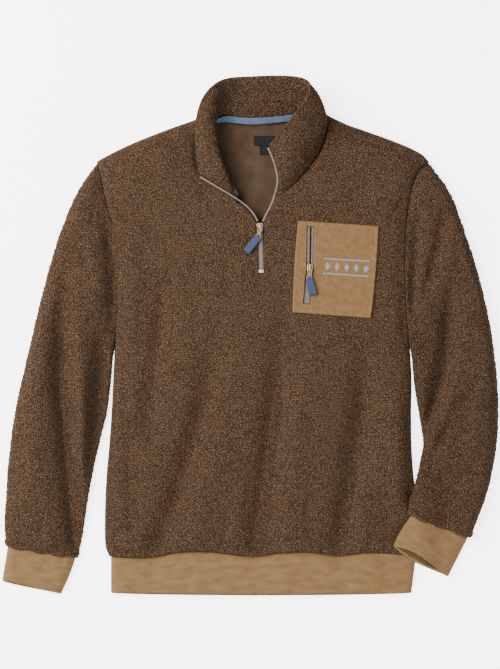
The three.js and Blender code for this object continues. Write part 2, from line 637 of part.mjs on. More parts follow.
function hemBandGeometry() {
  const [top, bottom] = HEM_BAND;
  const plan = (t, a) => {
    const x = mix(mix(top.left, top.right, a), mix(bottom.left, bottom.right, a), t);
    const sag = BAND_SAG * Math.sin(Math.PI * a) ** 0.5;
    return [x, mix(hemY(x) - 2 * SEAM, BAND_BOTTOM - sag, t)];
  };
  const shift = (t, a, isTop) => {
    const inward = rounded(Math.min(a, 1 - a), 0.3);
    return [0, isTop ? BAND_SETBACK * inward * t : 0];
  };
  const height = (t, a, x, y) => {
    const underCuff = 1 - CUFF_ON_BAND.by * Math.exp(-(((x - CUFF_ON_BAND.at) / CUFF_ON_BAND.half) ** 4));
    const folds = foldHeight(BODY_FOLDS, x, Math.max(y, -328) + 2) * BAND_FOLDS * (1 - 0.6 * t);
    return 2 * KNIT + (HEM_GAP + folds) * underCuff;
  };
  return flatTube({ stations: 4, columns: 26, wall: KNIT, run: BAND_RUN, plan, height, shift });
}

// A strip of one width that follows a line in plan, with its foot at base(x, y)
function strip({ line, width, base, thick, steps }) {
  const points = repeat(steps + 1, (i) => {
    const p = line(i / steps);
    return [p.x, p.y];
  });
  const left = offsetLine(points, 0.5);
  const side = (i, half) => {
    const [px, py] = points[i];
    return [px + (left[i][0] - px) * 2 * half, py + (left[i][1] - py) * 2 * half];
  };
  const grid = points.map((_, i) => [-1, 0, 1].map((k) => side(i, (k * width) / 2)));
  const upper = grid.map((row) => row.map(([x, y]) => [x, y, base(x, y) + thick]));
  const lower = grid.map((row) => row.map(([x, y]) => [x, y, base(x, y)]));
  return wallBetween(upper, lower);
}

// One open half of the front zip: beside the front panel's edge, then beside the collar's front end
const EDGE_SECTION = [[1, 0.5], [0.5, 1], [-0.5, 1], [-1, 0.5], [-1, -0.5], [-0.5, -1], [0.5, -1], [1, -0.5]];
const EDGE_HEIGHTS = [0.12, 0.3, 0.5, 0.7, 0.9, 1]; // shares of the collar's rise that the line runs through
function zipEdgeGeometry(points, atEnd) {
  const away = ZIP.edgeWidth / 2 + 5 * SEAM;
  const hand = atEnd ? 1 : -1;
  const path = points.map(([x, y]) => new THREE.Vector3(x, y, frontTop(x, y) - 1.6));
  const sides = path.map((p, i) => {
    const ahead = path[Math.min(path.length - 1, i + 1)].clone().sub(path[Math.max(0, i - 1)]);
    return ahead.cross(new THREE.Vector3(0, 0, 1)).normalize();
  });
  for (const h of EDGE_HEIGHTS) {
    const up = collarPoint(atEnd, clamp(h + 0.02)).sub(collarPoint(atEnd, clamp(h - 0.02)));
    const outwards = up.cross(collarNormal(atEnd, h)).normalize().multiplyScalar(hand);
    path.push(collarPoint(atEnd, h).addScaledVector(outwards, away));
    sides.push(outwards.multiplyScalar(hand));
  }
  const [centre, across] = [path, sides].map((line) => lineThrough(line.map((p) => p.toArray())));
  const steps = 30;
  const rings = repeat(steps + 1, (i) => {
    const place = centre(i / steps);
    const ahead = centre(clamp((i + 0.5) / steps)).sub(centre(clamp((i - 0.5) / steps))).normalize();
    const side = across(i / steps).normalize();
    const up = side.clone().cross(ahead).normalize();
    side.multiplyScalar(ZIP.edgeWidth / 2);
    up.multiplyScalar(ZIP.thick / 2);
    return EDGE_SECTION.map(([a, b]) =>
      place.clone().addScaledVector(side, a).addScaledVector(up, b).toArray(),
    );
  });
  return solidOfRings(rings);
}

// Slider casting: a plate that narrows towards the closed chain, with an arch that carries the pull
const SLIDER = { length: 12.6, shoulder: 9.4, tail: 7, low: -1.6, high: 1.2 };
const ARCH = { rise: 3.6, half: 3.6, wide: 2.2, window: 2.3, foot: 0.2, shoulder: 2.1, top: 2.8 };
const AXIS_RISE = 1.5; // of the pull's bar above the slider's plate
function archGeometry() {
  const { rise, half, wide, window, foot, shoulder, top } = ARCH;
  const side = new THREE.Shape(
    planPoints([
      [-half, -0.5],
      [half, -0.5],
      [half, rise * 0.6],
      [half * 0.6, rise],
      [-half * 0.6, rise],
      [-half, rise * 0.6],
    ]),
  );
  const opening = [
    [-window, foot],
    [-window, shoulder],
    [0.8 - window, top],
    [window - 0.8, top],
    [window, shoulder],
    [window, foot],
  ];
  side.holes.push(new THREE.Path(planPoints(opening)));
  const arch = new THREE.ExtrudeGeometry(side, { depth: wide, bevelEnabled: false });
  return arch.translate(0, 0, -wide / 2).rotateX(Math.PI / 2).rotateZ(Math.PI / 2);
}

function sliderGeometry() {
  const { length, shoulder, tail, low, high } = SLIDER;
  const [l, s, t] = [length / 2, shoulder / 2, tail / 2];
  const outline = [
    [-t + 1, -l],
    [t - 1, -l],
    [t, -l + 1],
    [s, l - 3],
    [s - 1.6, l],
    [-s + 1.6, l],
    [-s, l - 3],
    [-t, -l + 1],
  ];
  return join(prism(outline, low, high), archGeometry().translate(0, 0, high));
}

// Metal pull: a link round the slider's arch, a narrow neck and an eye for the tab
const PULL = {
  thick: 1.1,
  link: 3.5, // half width of the link round the slider's bar
  hole: 2.25,
  holeEnd: 6.6,
  bar: 0.55,
  neck: 2.8,
  eyeAt: 15,
  eye: 3,
  eyeEdge: 4.8,
};
const turned = (radius, angle) => [radius * Math.cos(angle), radius * Math.sin(angle)];
function pullGeometry() {
  const { thick, link, hole, bar, holeEnd, neck, eyeAt, eye, eyeEdge } = PULL;
  const side = [
    [link - 0.6, bar],
    [link, -0.6],
    [link, -holeEnd + 0.5],
    [neck, -holeEnd - 2],
    [neck, -eyeAt + eyeEdge - 0.4],
  ];
  const aroundEye = ([x, y]) => [x, y - eyeAt];
  const arc = repeat(13, (i) => turned(eyeEdge, mix(1, -Math.PI - 1, i / 12))).map(aroundEye);
  const outline = [...side, ...arc, ...side.map(([x, y]) => [-x, y]).reverse()];
  const window = [
    [hole, -bar],
    [hole, -holeEnd + 0.8],
    [hole - 0.8, -holeEnd],
    [0.8 - hole, -holeEnd],
    [-hole, -holeEnd + 0.8],
    [-hole, -bar],
  ];
  const round = repeat(16, (i) => turned(eye, (-2 * Math.PI * i) / 16)).map(aroundEye);
  const plate = prism(outline.reverse(), -thick / 2, thick / 2);
  return cut(plate, prism(window, -thick, thick), prism(round, -thick, thick));
}

// Moulded tab: a flat grip with a fork that holds the pull's eye on a pin
const TAB = { above: 1.7, thick: 3, fork: 1.8, pin: 1.4, forkReach: 5.6 };
function tabGeometry(length, topWidth, footWidth) {
  const { above, thick, fork, pin, forkReach } = TAB;
  const [t, f] = [topWidth / 2, footWidth / 2];
  const half = [
    [t - 2.4, above],
    [t, above - 2.4],
    [f, -length + 1.2],
    [f - 1.2, -length],
  ];
  const outline = [...half, ...half.map(([x, y]) => [-x, y]).reverse()].reverse();
  const grip = prism(outline, -thick / 2, thick / 2);
  const slot = new THREE.BoxGeometry(topWidth + 4, above + forkReach + 4, fork);
  slot.translate(0, (above - forkReach + 4) / 2, 0);
  const round = new THREE.CylinderGeometry(pin, pin, fork + 0.4, 16).rotateX(Math.PI / 2);
  return join(cut(grip, slot), round);
}

const colour = (r, g, b) => new THREE.Color().setRGB(r, g, b, THREE.SRGBColorSpace);
function finish(r, g, b, roughness, metalness = 0) {
  return new THREE.MeshStandardMaterial({ color: colour(r, g, b), roughness, metalness });
}
const FINISHES = {
  fleece: finish(0.376, 0.278, 0.212, 1),
  knit: finish(0.62, 0.498, 0.365, 0.95),
  pocketCloth: finish(0.635, 0.502, 0.357, 0.85),
  tape: finish(0.4, 0.47, 0.6, 0.9),
  label: finish(0.07, 0.075, 0.09, 0.8),
  zipTape: finish(0.5, 0.46, 0.43, 0.7),
  stop: finish(0.82, 0.8, 0.76, 0.35, 0.9),
  brass: finish(0.83, 0.7, 0.49, 0.35, 1),
  tab: finish(0.26, 0.4, 0.6, 0.6),
};

const pullover = new THREE.Group();
function add(name, geometry, material, parent = pullover) {
  const mesh = new THREE.Mesh(geometry, FINISHES[material]);
  mesh.name = name;
  parent.add(mesh);
  return mesh;
}

// Cloth pieces
add("back_panel", backPanelGeometry(), "fleece");
add("front_panel", frontPanelGeometry(), "fleece");
const leftArmhole = (y) => leftEdge(y) - 0.7;
const rightArmhole = (y) => rightEdge(y) + 0.7;
add("sleeve_left", sleeveGeometry(LEFT_SLEEVE, LEFT_SLEEVE_FOLDS, leftArmhole), "fleece");
add("sleeve_right", sleeveGeometry(RIGHT_SLEEVE, RIGHT_SLEEVE_FOLDS, rightArmhole, liftOverBody), "fleece");
add("collar", collarGeometry(), "fleece");
add("hem_band", hemBandGeometry(), "knit");
add("cuff_left", cuffGeometry(LEFT_CUFF), "knit");
add("cuff_right", cuffGeometry(RIGHT_CUFF, liftOverBody), "knit");

// Neck tape: a narrow strip over the collar's seam, on the face that touches the neck
const TAPE = { cloth: 0.8, foot: 0.1, top: 0.93, offCorner: 1.8 };
function neckTapeGeometry() {
  const layer = (out) =>
    repeat(COLLAR_STEPS + 1, (i) => {
      const s = i / COLLAR_STEPS;
      const corner = TAPE.offCorner * Math.exp(-(((s - NECK_CORNER) / 0.05) ** 2));
      const face = [0, 1 / COLLAR_RISE].map((h) =>
        collarPoint(s, h).addScaledVector(collarNormal(s, h), COLLAR_WALL / 2 + out + corner).toArray(),
      );
      return [TAPE.foot, TAPE.top].map((share) => mixPoint(...face, share));
    });
  return wallBetween(layer(SEAM + TAPE.cloth), layer(SEAM));
}
add("neck_tape", neckTapeGeometry(), "tape");

// Neck label and the size tab below it, sewn on the inside of the back panel
function plainPatch({ left, right, top, bottom, cloth }) {
  const outline = [[left, bottom], [right, bottom], [right, top], [left, top]];
  return prism(outline, FLEECE + SEAM, FLEECE + SEAM + cloth);
}
add("neck_label", plainPatch(LABEL), "label");
add("size_tab", plainPatch({ ...SIZE_TAB, top: LABEL.bottom - SEAM }), "label");

// Patch pocket, made from the front panel's points, with a slot for its zip
function pocketGeometry() {
  const { corners, cloth, bow } = POCKET;
  const [across, along] = [12, 12];
  const grid = repeat(along + 1, (i) =>
    repeat(across + 1, (j) => {
      const [u, v] = [j / across, i / along];
      const low = mixPoint(corners.bottomLeft, corners.bottomRight, u);
      const high = mixPoint(corners.topLeft, corners.topRight, u);
      const out = bow * (2 * u - 1) * 4 * v * (1 - v);
      const [x, y] = mixPoint(low, high, v);
      return [x + out, y];
    }),
  );
  const layer = (out) => grid.map((row) => row.map(([x, y]) => [x, y, frontTop(x, y) + out]));
  const panel = wallBetween(layer(SEAM + cloth), layer(SEAM));
  const line = [POCKET_ZIP.top, POCKET_ZIP.slider, POCKET_ZIP.foot];
  const half = POCKET_ZIP.slotWidth / 2;
  const slot = [...offsetLine(line, half), ...offsetLine(line, -half).reverse()];
  return cut(panel, prism(slot, 0, 80));
}
add("chest_pocket", pocketGeometry(), "pocketCloth");

// Front zip
const alongZip = (from, to) => lineThrough([from, to].map((share) => mixPoint(ZIP.slider, ZIP.foot, share)));
const zipLength = distance(ZIP.slider, ZIP.foot);
const sliderHalf = SLIDER.length / 2 + SEAM;
const stopTop = 1 - ZIP.stopLength / zipLength;
add("zip_edge_left", zipEdgeGeometry(ZIP.left, 0), "zipTape");
add("zip_edge_right", zipEdgeGeometry(ZIP.right, 1), "zipTape");
const chain = strip({
  line: alongZip(sliderHalf / zipLength, stopTop),
  width: ZIP.chainWidth,
  base: (x, y) => frontTop(x, y) - ZIP.sunk,
  thick: ZIP.thick,
  steps: 8,
});
const stop = strip({
  line: alongZip(stopTop + SEAM / zipLength, 1 - 0.4 / zipLength),
  width: ZIP.chainWidth - 2 * SEAM,
  base: (x, y) => frontTop(x, y) - ZIP.sunk + 0.2,
  thick: ZIP.sunk,
  steps: 2,
});
add("zip_chain", chain, "zipTape");
add("zip_stop", stop, "stop");

// A slider with its pull and tab, set on the cloth: the pull and the tab each have their own turn
function addSlider(prefix, { centre, foot, height, pullTurn, tabTurn, tab }) {
  const place = (mesh, [x, y], z, turn) => {
    mesh.position.set(x, y, z);
    mesh.rotation.z = turn;
  };
  const axis = height + SLIDER.high + AXIS_RISE;
  const lean = Math.atan2(foot[0] - centre[0], centre[1] - foot[1]);
  const eye = [centre[0] + PULL.eyeAt * Math.sin(pullTurn), centre[1] - PULL.eyeAt * Math.cos(pullTurn)];
  place(add(`${prefix}_slider`, sliderGeometry(), "brass"), centre, height, lean);
  place(add(`${prefix}_pull`, pullGeometry(), "brass"), centre, axis, pullTurn);
  place(add(`${prefix}_tab`, tabGeometry(tab.length, tab.top, tab.foot), "tab"), eye, axis, tabTurn);
}
addSlider("zip", {
  centre: ZIP.slider,
  foot: ZIP.foot,
  height: frontTop(...ZIP.slider) - 0.2,
  pullTurn: degrees(-12.5),
  tabTurn: degrees(-38),
  tab: { length: 28.4, top: 10.2, foot: 10.4 },
});

// Pocket zip
const pocketCloth = (x, y) => frontTop(x, y) + SEAM;
const openLine = (aside) => {
  const { top, slider } = POCKET_ZIP;
  const whole = distance(top, slider);
  const ends = [(2 * SEAM) / whole, 1 - sliderHalf / whole];
  return lineThrough(offsetLine(ends.map((share) => mixPoint(top, slider, share)), aside));
};
const closedLine = () => {
  const { slider, foot } = POCKET_ZIP;
  const whole = distance(slider, foot);
  const ends = [sliderHalf / whole, 1 - (2 * SEAM) / whole];
  return lineThrough(ends.map((share) => mixPoint(slider, foot, share)));
};
const mouthEdge = (POCKET_ZIP.slotWidth - 2 * SEAM - POCKET_ZIP.mouthGap) / 2;
const edgeAside = (POCKET_ZIP.mouthGap + mouthEdge) / 2;
const onPocket = { base: pocketCloth, thick: POCKET_ZIP.thick };
const leftTape = strip({ ...onPocket, line: openLine(-edgeAside), width: mouthEdge, steps: 6 });
const rightTape = strip({ ...onPocket, line: openLine(edgeAside), width: mouthEdge, steps: 6 });
const pocketChain = strip({ ...onPocket, line: closedLine(), width: POCKET_ZIP.chainWidth, steps: 8 });
add("pocket_zip_left", leftTape, "zipTape");
add("pocket_zip_right", rightTape, "zipTape");
add("pocket_zip_chain", pocketChain, "zipTape");
addSlider("pocket", {
  centre: POCKET_ZIP.slider,
  foot: POCKET_ZIP.foot,
  height: pocketCloth(...POCKET_ZIP.slider) - SLIDER.low + SEAM,
  pullTurn: degrees(-4.6),
  tabTurn: degrees(11.8),
  tab: { length: 25.2, top: 9.6, foot: 13 },
});

export default pullover;
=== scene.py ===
import bmesh
import bpy
import numpy as np
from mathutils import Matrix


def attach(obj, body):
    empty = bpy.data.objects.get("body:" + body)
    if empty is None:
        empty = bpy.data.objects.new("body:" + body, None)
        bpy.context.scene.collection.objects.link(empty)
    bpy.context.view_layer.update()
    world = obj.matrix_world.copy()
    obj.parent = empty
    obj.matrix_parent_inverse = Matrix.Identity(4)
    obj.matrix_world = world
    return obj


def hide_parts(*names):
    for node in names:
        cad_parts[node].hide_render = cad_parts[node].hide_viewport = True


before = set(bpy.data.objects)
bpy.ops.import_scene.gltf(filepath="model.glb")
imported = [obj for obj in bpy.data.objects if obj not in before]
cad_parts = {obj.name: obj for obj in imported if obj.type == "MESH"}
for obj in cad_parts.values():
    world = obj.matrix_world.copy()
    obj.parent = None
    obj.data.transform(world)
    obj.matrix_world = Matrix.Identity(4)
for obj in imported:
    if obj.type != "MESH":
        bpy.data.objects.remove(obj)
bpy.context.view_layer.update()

# Back panel
# One piece of sherpa fleece with its smooth knitted side inwards. It lies flat under everything else, so
# its pile is pressed against the surface, with a few shallow creases where the cloth has lifted.
# Sizes are in millimetres, and MM turns them into metres. FLEECE is a wall with its pile, SEAM the gap at
# a sewn seam, TILE the side of a repeating noise tile, and CLEAR a place in plan above the shoulders.
MM = 0.001
FLEECE = 4.0
SEAM = 0.3
TILE = 512
CLEAR = 400
BODY_WIDTH = 500
SHOULDER_SLOPE = 0.93
OUTLINE_Y = [-327, -312, -275, -235, -200, -160, -110, -60, -4, 40, 90, 126, 165, 200, 231, 250, 263]
LEFT_X = [-211, -216.5, -217.5, -216.5, -214.5, -210.8, -207.3, -204.8, -202, -199.5, -197.4, -198, -205.5]
LEFT_X += [-215, -222.5, -226.5, -229.5]
RIGHT_X = [247, 250.5, 250, 248, 244.5, 242, 241.5, 242, 238.5, 235, 232.6, 232.8, 234.5, 238.5, 245.5]
RIGHT_X += [254, 268]
SHOULDER_X = [-229.5, -222, -181, -125, -91, -58, 25, 108, 122, 148, 167, 228, 258, 268]
SHOULDER_Y = [263, 268, 288.5, 311, 323, 334, 338, 337, 330, 318, 311.5, 289, 274, 263]
HEM_X = [-220, -160, -110, -60, -8, 45, 85, 125, 175, 252]
HEM_Y = [-327, -329.5, -322, -321, -327, -323, -321.5, -326, -323, -328]
# Stand collar from its left front end round the back to the right one: seam, roll, fall and top edge
COLLAR_SEAM = [[-18, 209, 18.5], [-34.5, 233, 16], [-49, 261.5, 13.5], [-59, 287, 11.5], [-64, 309, 9.5],
               [-59, 323.5, 7.5], [-41, 325, 4.8], [0, 320.5, 3.4], [50, 324, 3.6], [81, 329.5, 5.2],
               [103, 331.5, 8], [112, 320, 10.5], [108.5, 292, 12.5], [95, 266, 14], [67, 233, 15.8],
               [42, 213, 17.5]]
FIRST_BACK_ROW, LAST_BACK_ROW = 5, 10
COLLAR_WALL = 6.0


def table_value(at, places, values):
    """A cubic through the rows of a table: each row's slope is that between the rows beside it."""
    places, values = np.asarray(places, float), np.asarray(values, float)
    low = np.r_[0, np.arange(len(places) - 1)]
    high = np.r_[np.arange(1, len(places)), len(places) - 1]
    slope = (values[high] - values[low]) / (places[high] - places[low])
    i = np.clip(np.searchsorted(places, at) - 1, 0, len(places) - 2)
    span = places[i + 1] - places[i]
    t = np.clip((at - places[i]) / span, 0, 1)
    return (
        (2 * t**3 - 3 * t**2 + 1) * values[i]
        + (t**3 - 2 * t**2 + t) * span * slope[i]
        + (3 * t**2 - 2 * t**3) * values[i + 1]
        + (t**3 - t**2) * span * slope[i + 1]
    )


def left_edge(y):
    """The left side seam's place across, at a height in plan."""
    return table_value(y, OUTLINE_Y, LEFT_X)


def right_edge(y):
    """The right side seam's place across, at a height in plan."""
    return table_value(y, OUTLINE_Y, RIGHT_X)


def shoulder_y(x):
    """The height in plan of the shoulders and neck, at a place across."""
    return table_value(x, SHOULDER_X, SHOULDER_Y)


def hem_y(x):
    """The height in plan of the seam at the hem, at a place across."""
    return table_value(x, HEM_X, HEM_Y)


def curve_through(points, t):
    """A centripetal curve through points (n, ..., 3) at each t from 0 to 1: its stretches are cubics whose
    ends' slopes come from the square roots of the chords beside them."""
    points = np.asarray(points, float)
    before = 2 * points[:1] - points[1:2]
    after = 2 * points[-1:] - points[-2:-1]
    held = np.concatenate([before, points, after])
    place = np.clip(np.asarray(t, float), 0, 1) * (len(points) - 1)
    i = np.minimum(place.astype(int), len(points) - 2)
    w = (place - i).reshape((-1,) + (1,) * (points.ndim - 1))
    p0, p1, p2, p3 = held[i], held[i + 1], held[i + 2], held[i + 3]
    chord = [((b - a) ** 2).sum(-1, keepdims=True) ** 0.25 for a, b in ((p0, p1), (p1, p2), (p2, p3))]
    d1 = np.maximum(chord[1], 1e-4)
    d0 = np.where(chord[0] < 1e-4, d1, chord[0])
    d2 = np.where(chord[2] < 1e-4, d1, chord[2])
    m1 = ((p1 - p0) / d0 - (p2 - p0) / (d0 + d1) + (p2 - p1) / d1) * d1
    m2 = ((p2 - p1) / d1 - (p3 - p1) / (d1 + d2) + (p3 - p2) / d2) * d1
    return p1 + m1 * w + (-3 * p1 + 3 * p2 - 2 * m1 - m2) * w**2 + (2 * p1 - 2 * p2 + m1 + m2) * w**3


def rounded(distance, run):
    """Rise of a rounded edge: a quarter circle from 0 at the edge to 1 at the given run inwards."""
    return np.sqrt(1 - (1 - np.clip(distance / run, 0, 1)) ** 2)


def smooth(value):
    """Soft step: 0 below 0, 1 above 1."""
    value = np.clip(value, 0, 1)
    return value**2 * (3 - 2 * value)


def blend_between(a, b, t):
    """A straight blend: a where t is 0, b where t is 1."""
    return a + (b - a) * t


def unit(vectors):
    """Vectors divided by their own lengths."""
    return vectors / np.linalg.norm(vectors, axis=-1, keepdims=True)


def line_run(points):
    """At each point of a line, the way from the point before it to the one after it."""
    return np.r_[points[1:], points[-1:]] - np.r_[points[:1], points[:-1]]


def offset_line(points, distance):
    """A line in plan moved to the left of the way that it runs."""
    points = np.asarray(points, float)[:, :2]
    run = unit(line_run(points))
    return points + distance * np.c_[-run[:, 1], run[:, 0]]


def panel_plan(u, v):
    """A patch between four edges: the sum of the blends across and along, less the blend of the corners."""
    bottom_x = blend_between(LEFT_X[0], RIGHT_X[0], u)
    top_x = blend_between(LEFT_X[-1], RIGHT_X[-1], u)
    side_y = blend_between(OUTLINE_Y[0], OUTLINE_Y[-1], v)
    x = blend_between(left_edge(side_y), right_edge(side_y), u)
    return x, blend_between(hem_y(bottom_x), shoulder_y(top_x), v)


def nub_tile(seed, length):
    """Noise with waves of one length in every direction, flattened by tanh into winding nubs from -1 to 1.
    The tile repeats."""
    rng = np.random.default_rng(seed)
    waves = np.hypot(np.fft.fftfreq(TILE)[:, None], np.fft.rfftfreq(TILE)[None, :])
    band = np.exp(-(((waves - 1 / length) * length / 0.3) ** 2))
    field = np.fft.irfft2(np.fft.rfft2(rng.standard_normal((TILE, TILE))) * band)
    return np.tanh(1.3 * field / field.std())


PILE = nub_tile(3, 5.2)
LOFT_NOISE = nub_tile(8, 46.0)


def tile_value(tile, x, y):
    """Reads a repeating tile between its points, with x and y in millimetres."""
    x, y = np.mod(x, TILE), np.mod(y, TILE)
    i, j = y.astype(int), x.astype(int)
    fy, fx = y - i, x - j
    i, j = i % TILE, j % TILE
    i1, j1 = (i + 1) % TILE, (j + 1) % TILE
    return (
        tile[i, j] * (1 - fy) * (1 - fx)
        + tile[i, j1] * (1 - fy) * fx
        + tile[i1, j] * fy * (1 - fx)
        + tile[i1, j1] * fy * fx
    )


def unit_grid(across, along):
    """u across and v along, each evenly from 0 to 1, on a grid."""
    return np.meshgrid(np.linspace(0, 1, across), np.linspace(0, 1, along))


def two_layers(x, y, upper, under):
    """The upper and the lower face of a flat piece over one plan grid."""
    return np.stack([np.stack([x, y, upper], -1), np.stack([x, y, under], -1)])


def quads_of(rows, columns, round_rows=False, round_columns=False, first=0):
    """Corner numbers of a grid's faces, with the last row or column joined to the first if asked."""
    i, j = np.meshgrid(
        np.arange(rows if round_rows else rows - 1),
        np.arange(columns if round_columns else columns - 1),
        indexing="ij",
    )
    i1, j1 = (i + 1) % rows, (j + 1) % columns
    corners = np.stack([i * columns + j, i * columns + j1, i1 * columns + j1, i1 * columns + j], -1)
    return corners.reshape(-1, 4) + first


def piece_from(name, points, faces, finish, cloth_uv=None):
    """A smooth-shaded mesh object from points in millimetres and four-cornered faces."""
    mesh = bpy.data.meshes.new(name)
    used, faces = np.unique(faces, return_inverse=True)
    faces = faces.reshape(-1, 4).astype(np.int32)
    places = (points.reshape(-1, 3)[used] * MM).astype(np.float32)
    mesh.vertices.add(len(places))
    mesh.vertices.foreach_set("co", places.ravel())
    mesh.loops.add(faces.size)
    mesh.loops.foreach_set("vertex_index", faces.ravel())
    mesh.polygons.add(len(faces))
    mesh.polygons.foreach_set("loop_start", np.arange(0, faces.size, 4, dtype=np.int32))
    mesh.update(calc_edges=True)
    mesh.polygons.foreach_set("use_smooth", np.ones(len(faces), bool))
    if cloth_uv is not None:
        layer = mesh.uv_layers.new(name="cloth")
        corner_uv = cloth_uv.reshape(-1, 2)[used][faces.ravel()]
        layer.data.foreach_set("uv", corner_uv.astype(np.float32).ravel())
    mesh.materials.append(finish)
    piece = bpy.data.objects.new(name, mesh)
    bpy.context.scene.collection.objects.link(piece)
    return piece


def merge_touching(piece, apart=2e-6):
    """Joins points that lie together, and turns every face outwards."""
    shell = bmesh.new()
    shell.from_mesh(piece.data)
    bmesh.ops.remove_doubles(shell, verts=shell.verts, dist=apart)
    bmesh.ops.dissolve_degenerate(shell, edges=shell.edges, dist=1e-7)
    bmesh.ops.recalc_face_normals(shell, faces=shell.faces)
    shell.to_mesh(piece.data)
    shell.free()


def normals_of(points):
    """Unit normals of a grid of points: the cross product of its slopes along columns and rows."""
    down = np.gradient(points, axis=0)
    along = np.gradient(points, axis=1)
    normal = np.cross(along, down)
    return normal / np.maximum(np.linalg.norm(normal, axis=-1, keepdims=True), 1e-9)


def nearest_and_side(polygon, x, y):
    """The nearest point of a closed outline in plan, the distance to it, and whether a point is inside."""
    a, b = polygon, np.roll(polygon, -1, axis=0)
    run = b - a
    px, py = x[:, None] - a[None, :, 0], y[:, None] - a[None, :, 1]
    t = np.clip((px * run[:, 0] + py * run[:, 1]) / (run**2).sum(1), 0, 1)
    gap = np.hypot(px - t * run[:, 0], py - t * run[:, 1])
    k = gap.argmin(1)
    pick = np.arange(len(x))
    nearest = a[k] + t[pick, k][:, None] * run[k]
    crosses = (a[None, :, 1] > y[:, None]) != (b[None, :, 1] > y[:, None])
    rise = np.where(run[:, 1] == 0, 1e-9, run[:, 1])
    past = x[:, None] < a[None, :, 0] + (y[:, None] - a[None, :, 1]) / rise * run[:, 0]
    return nearest, gap[pick, k], (crosses & past).sum(1) % 2 == 1


def trim(x, y, polygon, cell):
    """Cuts an outline out of a plan grid: points near it move onto it, and those further in are dropped.
    Gives the new plan, the distance to the cut, and which points stay."""
    x, y = x.copy(), y.copy()
    distance = np.full(x.shape, 1e3)
    stays = np.ones(x.shape, bool)
    low, high = polygon.min(0) - 12, polygon.max(0) + 12
    window = (x > low[0]) & (x < high[0]) & (y > low[1]) & (y < high[1])
    nearest, gap, within = nearest_and_side(polygon, x[window], y[window])
    snapped = gap < 0.55 * cell
    xs, ys = x[window], y[window]
    xs[snapped], ys[snapped] = nearest[snapped].T
    x[window], y[window] = xs, ys
    distance[window] = np.where(snapped, 0, gap)
    stays[window] = snapped | ~within
    return x, y, distance, stays


def edge_distance(x, y):
    """How far a point of a body panel is from the panel's nearest side."""
    side = np.minimum(x - left_edge(y), right_edge(y) - x)
    ends = np.minimum(y - hem_y(x), (shoulder_y(x) - y) * SHOULDER_SLOPE)
    return np.maximum(np.minimum(side, ends), 0)


def add_node(finish, kind, inputs=None, **settings):
    """Adds a shader node with its settings, and sets or joins its inputs."""
    node = finish.node_tree.nodes.new(kind)
    for key, value in settings.items():
        setattr(node, key, value)
    for key, value in (inputs or {}).items():
        if isinstance(value, bpy.types.NodeSocket):
            finish.node_tree.links.new(value, node.inputs[key])
        else:
            node.inputs[key].default_value = value
    return node


def new_finish(name, **shader_values):
    """A material with one Principled shader, and that shader."""
    finish = bpy.data.materials.new(name)
    finish.use_nodes = True
    finish.node_tree.nodes.clear()
    shader = add_node(finish, "ShaderNodeBsdfPrincipled", shader_values)
    out = add_node(finish, "ShaderNodeOutputMaterial")
    finish.node_tree.links.new(shader.outputs[0], out.inputs[0])
    return finish, shader


def object_place(finish):
    """A socket for the place on the object, in metres."""
    return add_node(finish, "ShaderNodeTexCoord").outputs["Object"]


def noise(finish, place, scale, detail):
    """A socket for cloudy noise about 0.5."""
    inputs = {"Vector": place, "Scale": scale, "Detail": detail}
    return add_node(finish, "ShaderNodeTexNoise", inputs).outputs["Fac"]


def times_plus(finish, value, factor, rest):
    """A socket for value times factor plus rest."""
    inputs = {0: value, 1: factor, 2: rest}
    return add_node(finish, "ShaderNodeMath", inputs, operation="MULTIPLY_ADD").outputs[0]


def ramped(finish, value, low, high):
    """A socket that runs evenly from 0 to 1 while a value runs from low to high."""
    inputs = {"Value": value, "From Min": low, "From Max": high}
    return add_node(finish, "ShaderNodeMapRange", inputs).outputs["Result"]


def paint(finish, shader, factor, steps):
    """Gives the shader a ramp of colours over a factor from 0 to 1."""
    ramp = add_node(finish, "ShaderNodeValToRGB", {"Fac": factor})
    ramp.color_ramp.elements.remove(ramp.color_ramp.elements[1])
    for k, (place, colour) in enumerate(steps):
        element = ramp.color_ramp.elements[0] if k == 0 else ramp.color_ramp.elements.new(place)
        element.position = place
        element.color = (*colour, 1)
    finish.node_tree.links.new(ramp.outputs["Color"], shader.inputs["Base Color"])


def roughen(finish, shader, height, strength, depth):
    """Gives the shader a bump from a height, with its depth in metres."""
    inputs = {"Height": height, "Strength": strength, "Distance": depth}
    bump = add_node(finish, "ShaderNodeBump", inputs)
    finish.node_tree.links.new(bump.outputs["Normal"], shader.inputs["Normal"])


def sherpa_finish(name, steps, nub_size, nub_height):
    """Curled pile: cells of one size, bent by noise, that round down to thin gaps, with fine fibres on them.
    The colour follows the pile's height: painted shade in the gaps and a painted highlight on the crests. A
    broad noise opens or closes the pile in faint patches."""
    finish, shader = new_finish(name, **{"Roughness": 1.0, "Specular IOR Level": 0.1})
    place = object_place(finish)
    bend = add_node(finish, "ShaderNodeTexNoise", {"Vector": place, "Scale": 0.75 / nub_size, "Detail": 1.0})
    push = add_node(
        finish,
        "ShaderNodeVectorMath",
        {0: bend.outputs["Color"], 1: (1.2 * nub_size,) * 3, 2: place},
        operation="MULTIPLY_ADD",
    )
    nubs = add_node(
        finish,
        "ShaderNodeTexVoronoi",
        {"Vector": push.outputs[0], "Scale": 1 / nub_size, "Randomness": 0.85},
        feature="DISTANCE_TO_EDGE",
    )
    crests = add_node(
        finish,
        "ShaderNodeMapRange",
        {"Value": nubs.outputs["Distance"], "From Min": -0.02, "From Max": 0.2},
        interpolation_type="SMOOTHSTEP",
    )
    fibres = noise(finish, place, 3.2 / nub_size, 1.0)
    height = times_plus(finish, fibres, 0.4, crests.outputs["Result"])
    patchy = times_plus(finish, noise(finish, place, 30.0, 2.0), 0.15, height)
    # The ramp over the pile's height paints shade into the gaps and a highlight onto the crests.
    paint(finish, shader, ramped(finish, patchy, 0.22, 1.38), steps)
    roughen(finish, shader, height, 1.0, nub_height)
    return finish
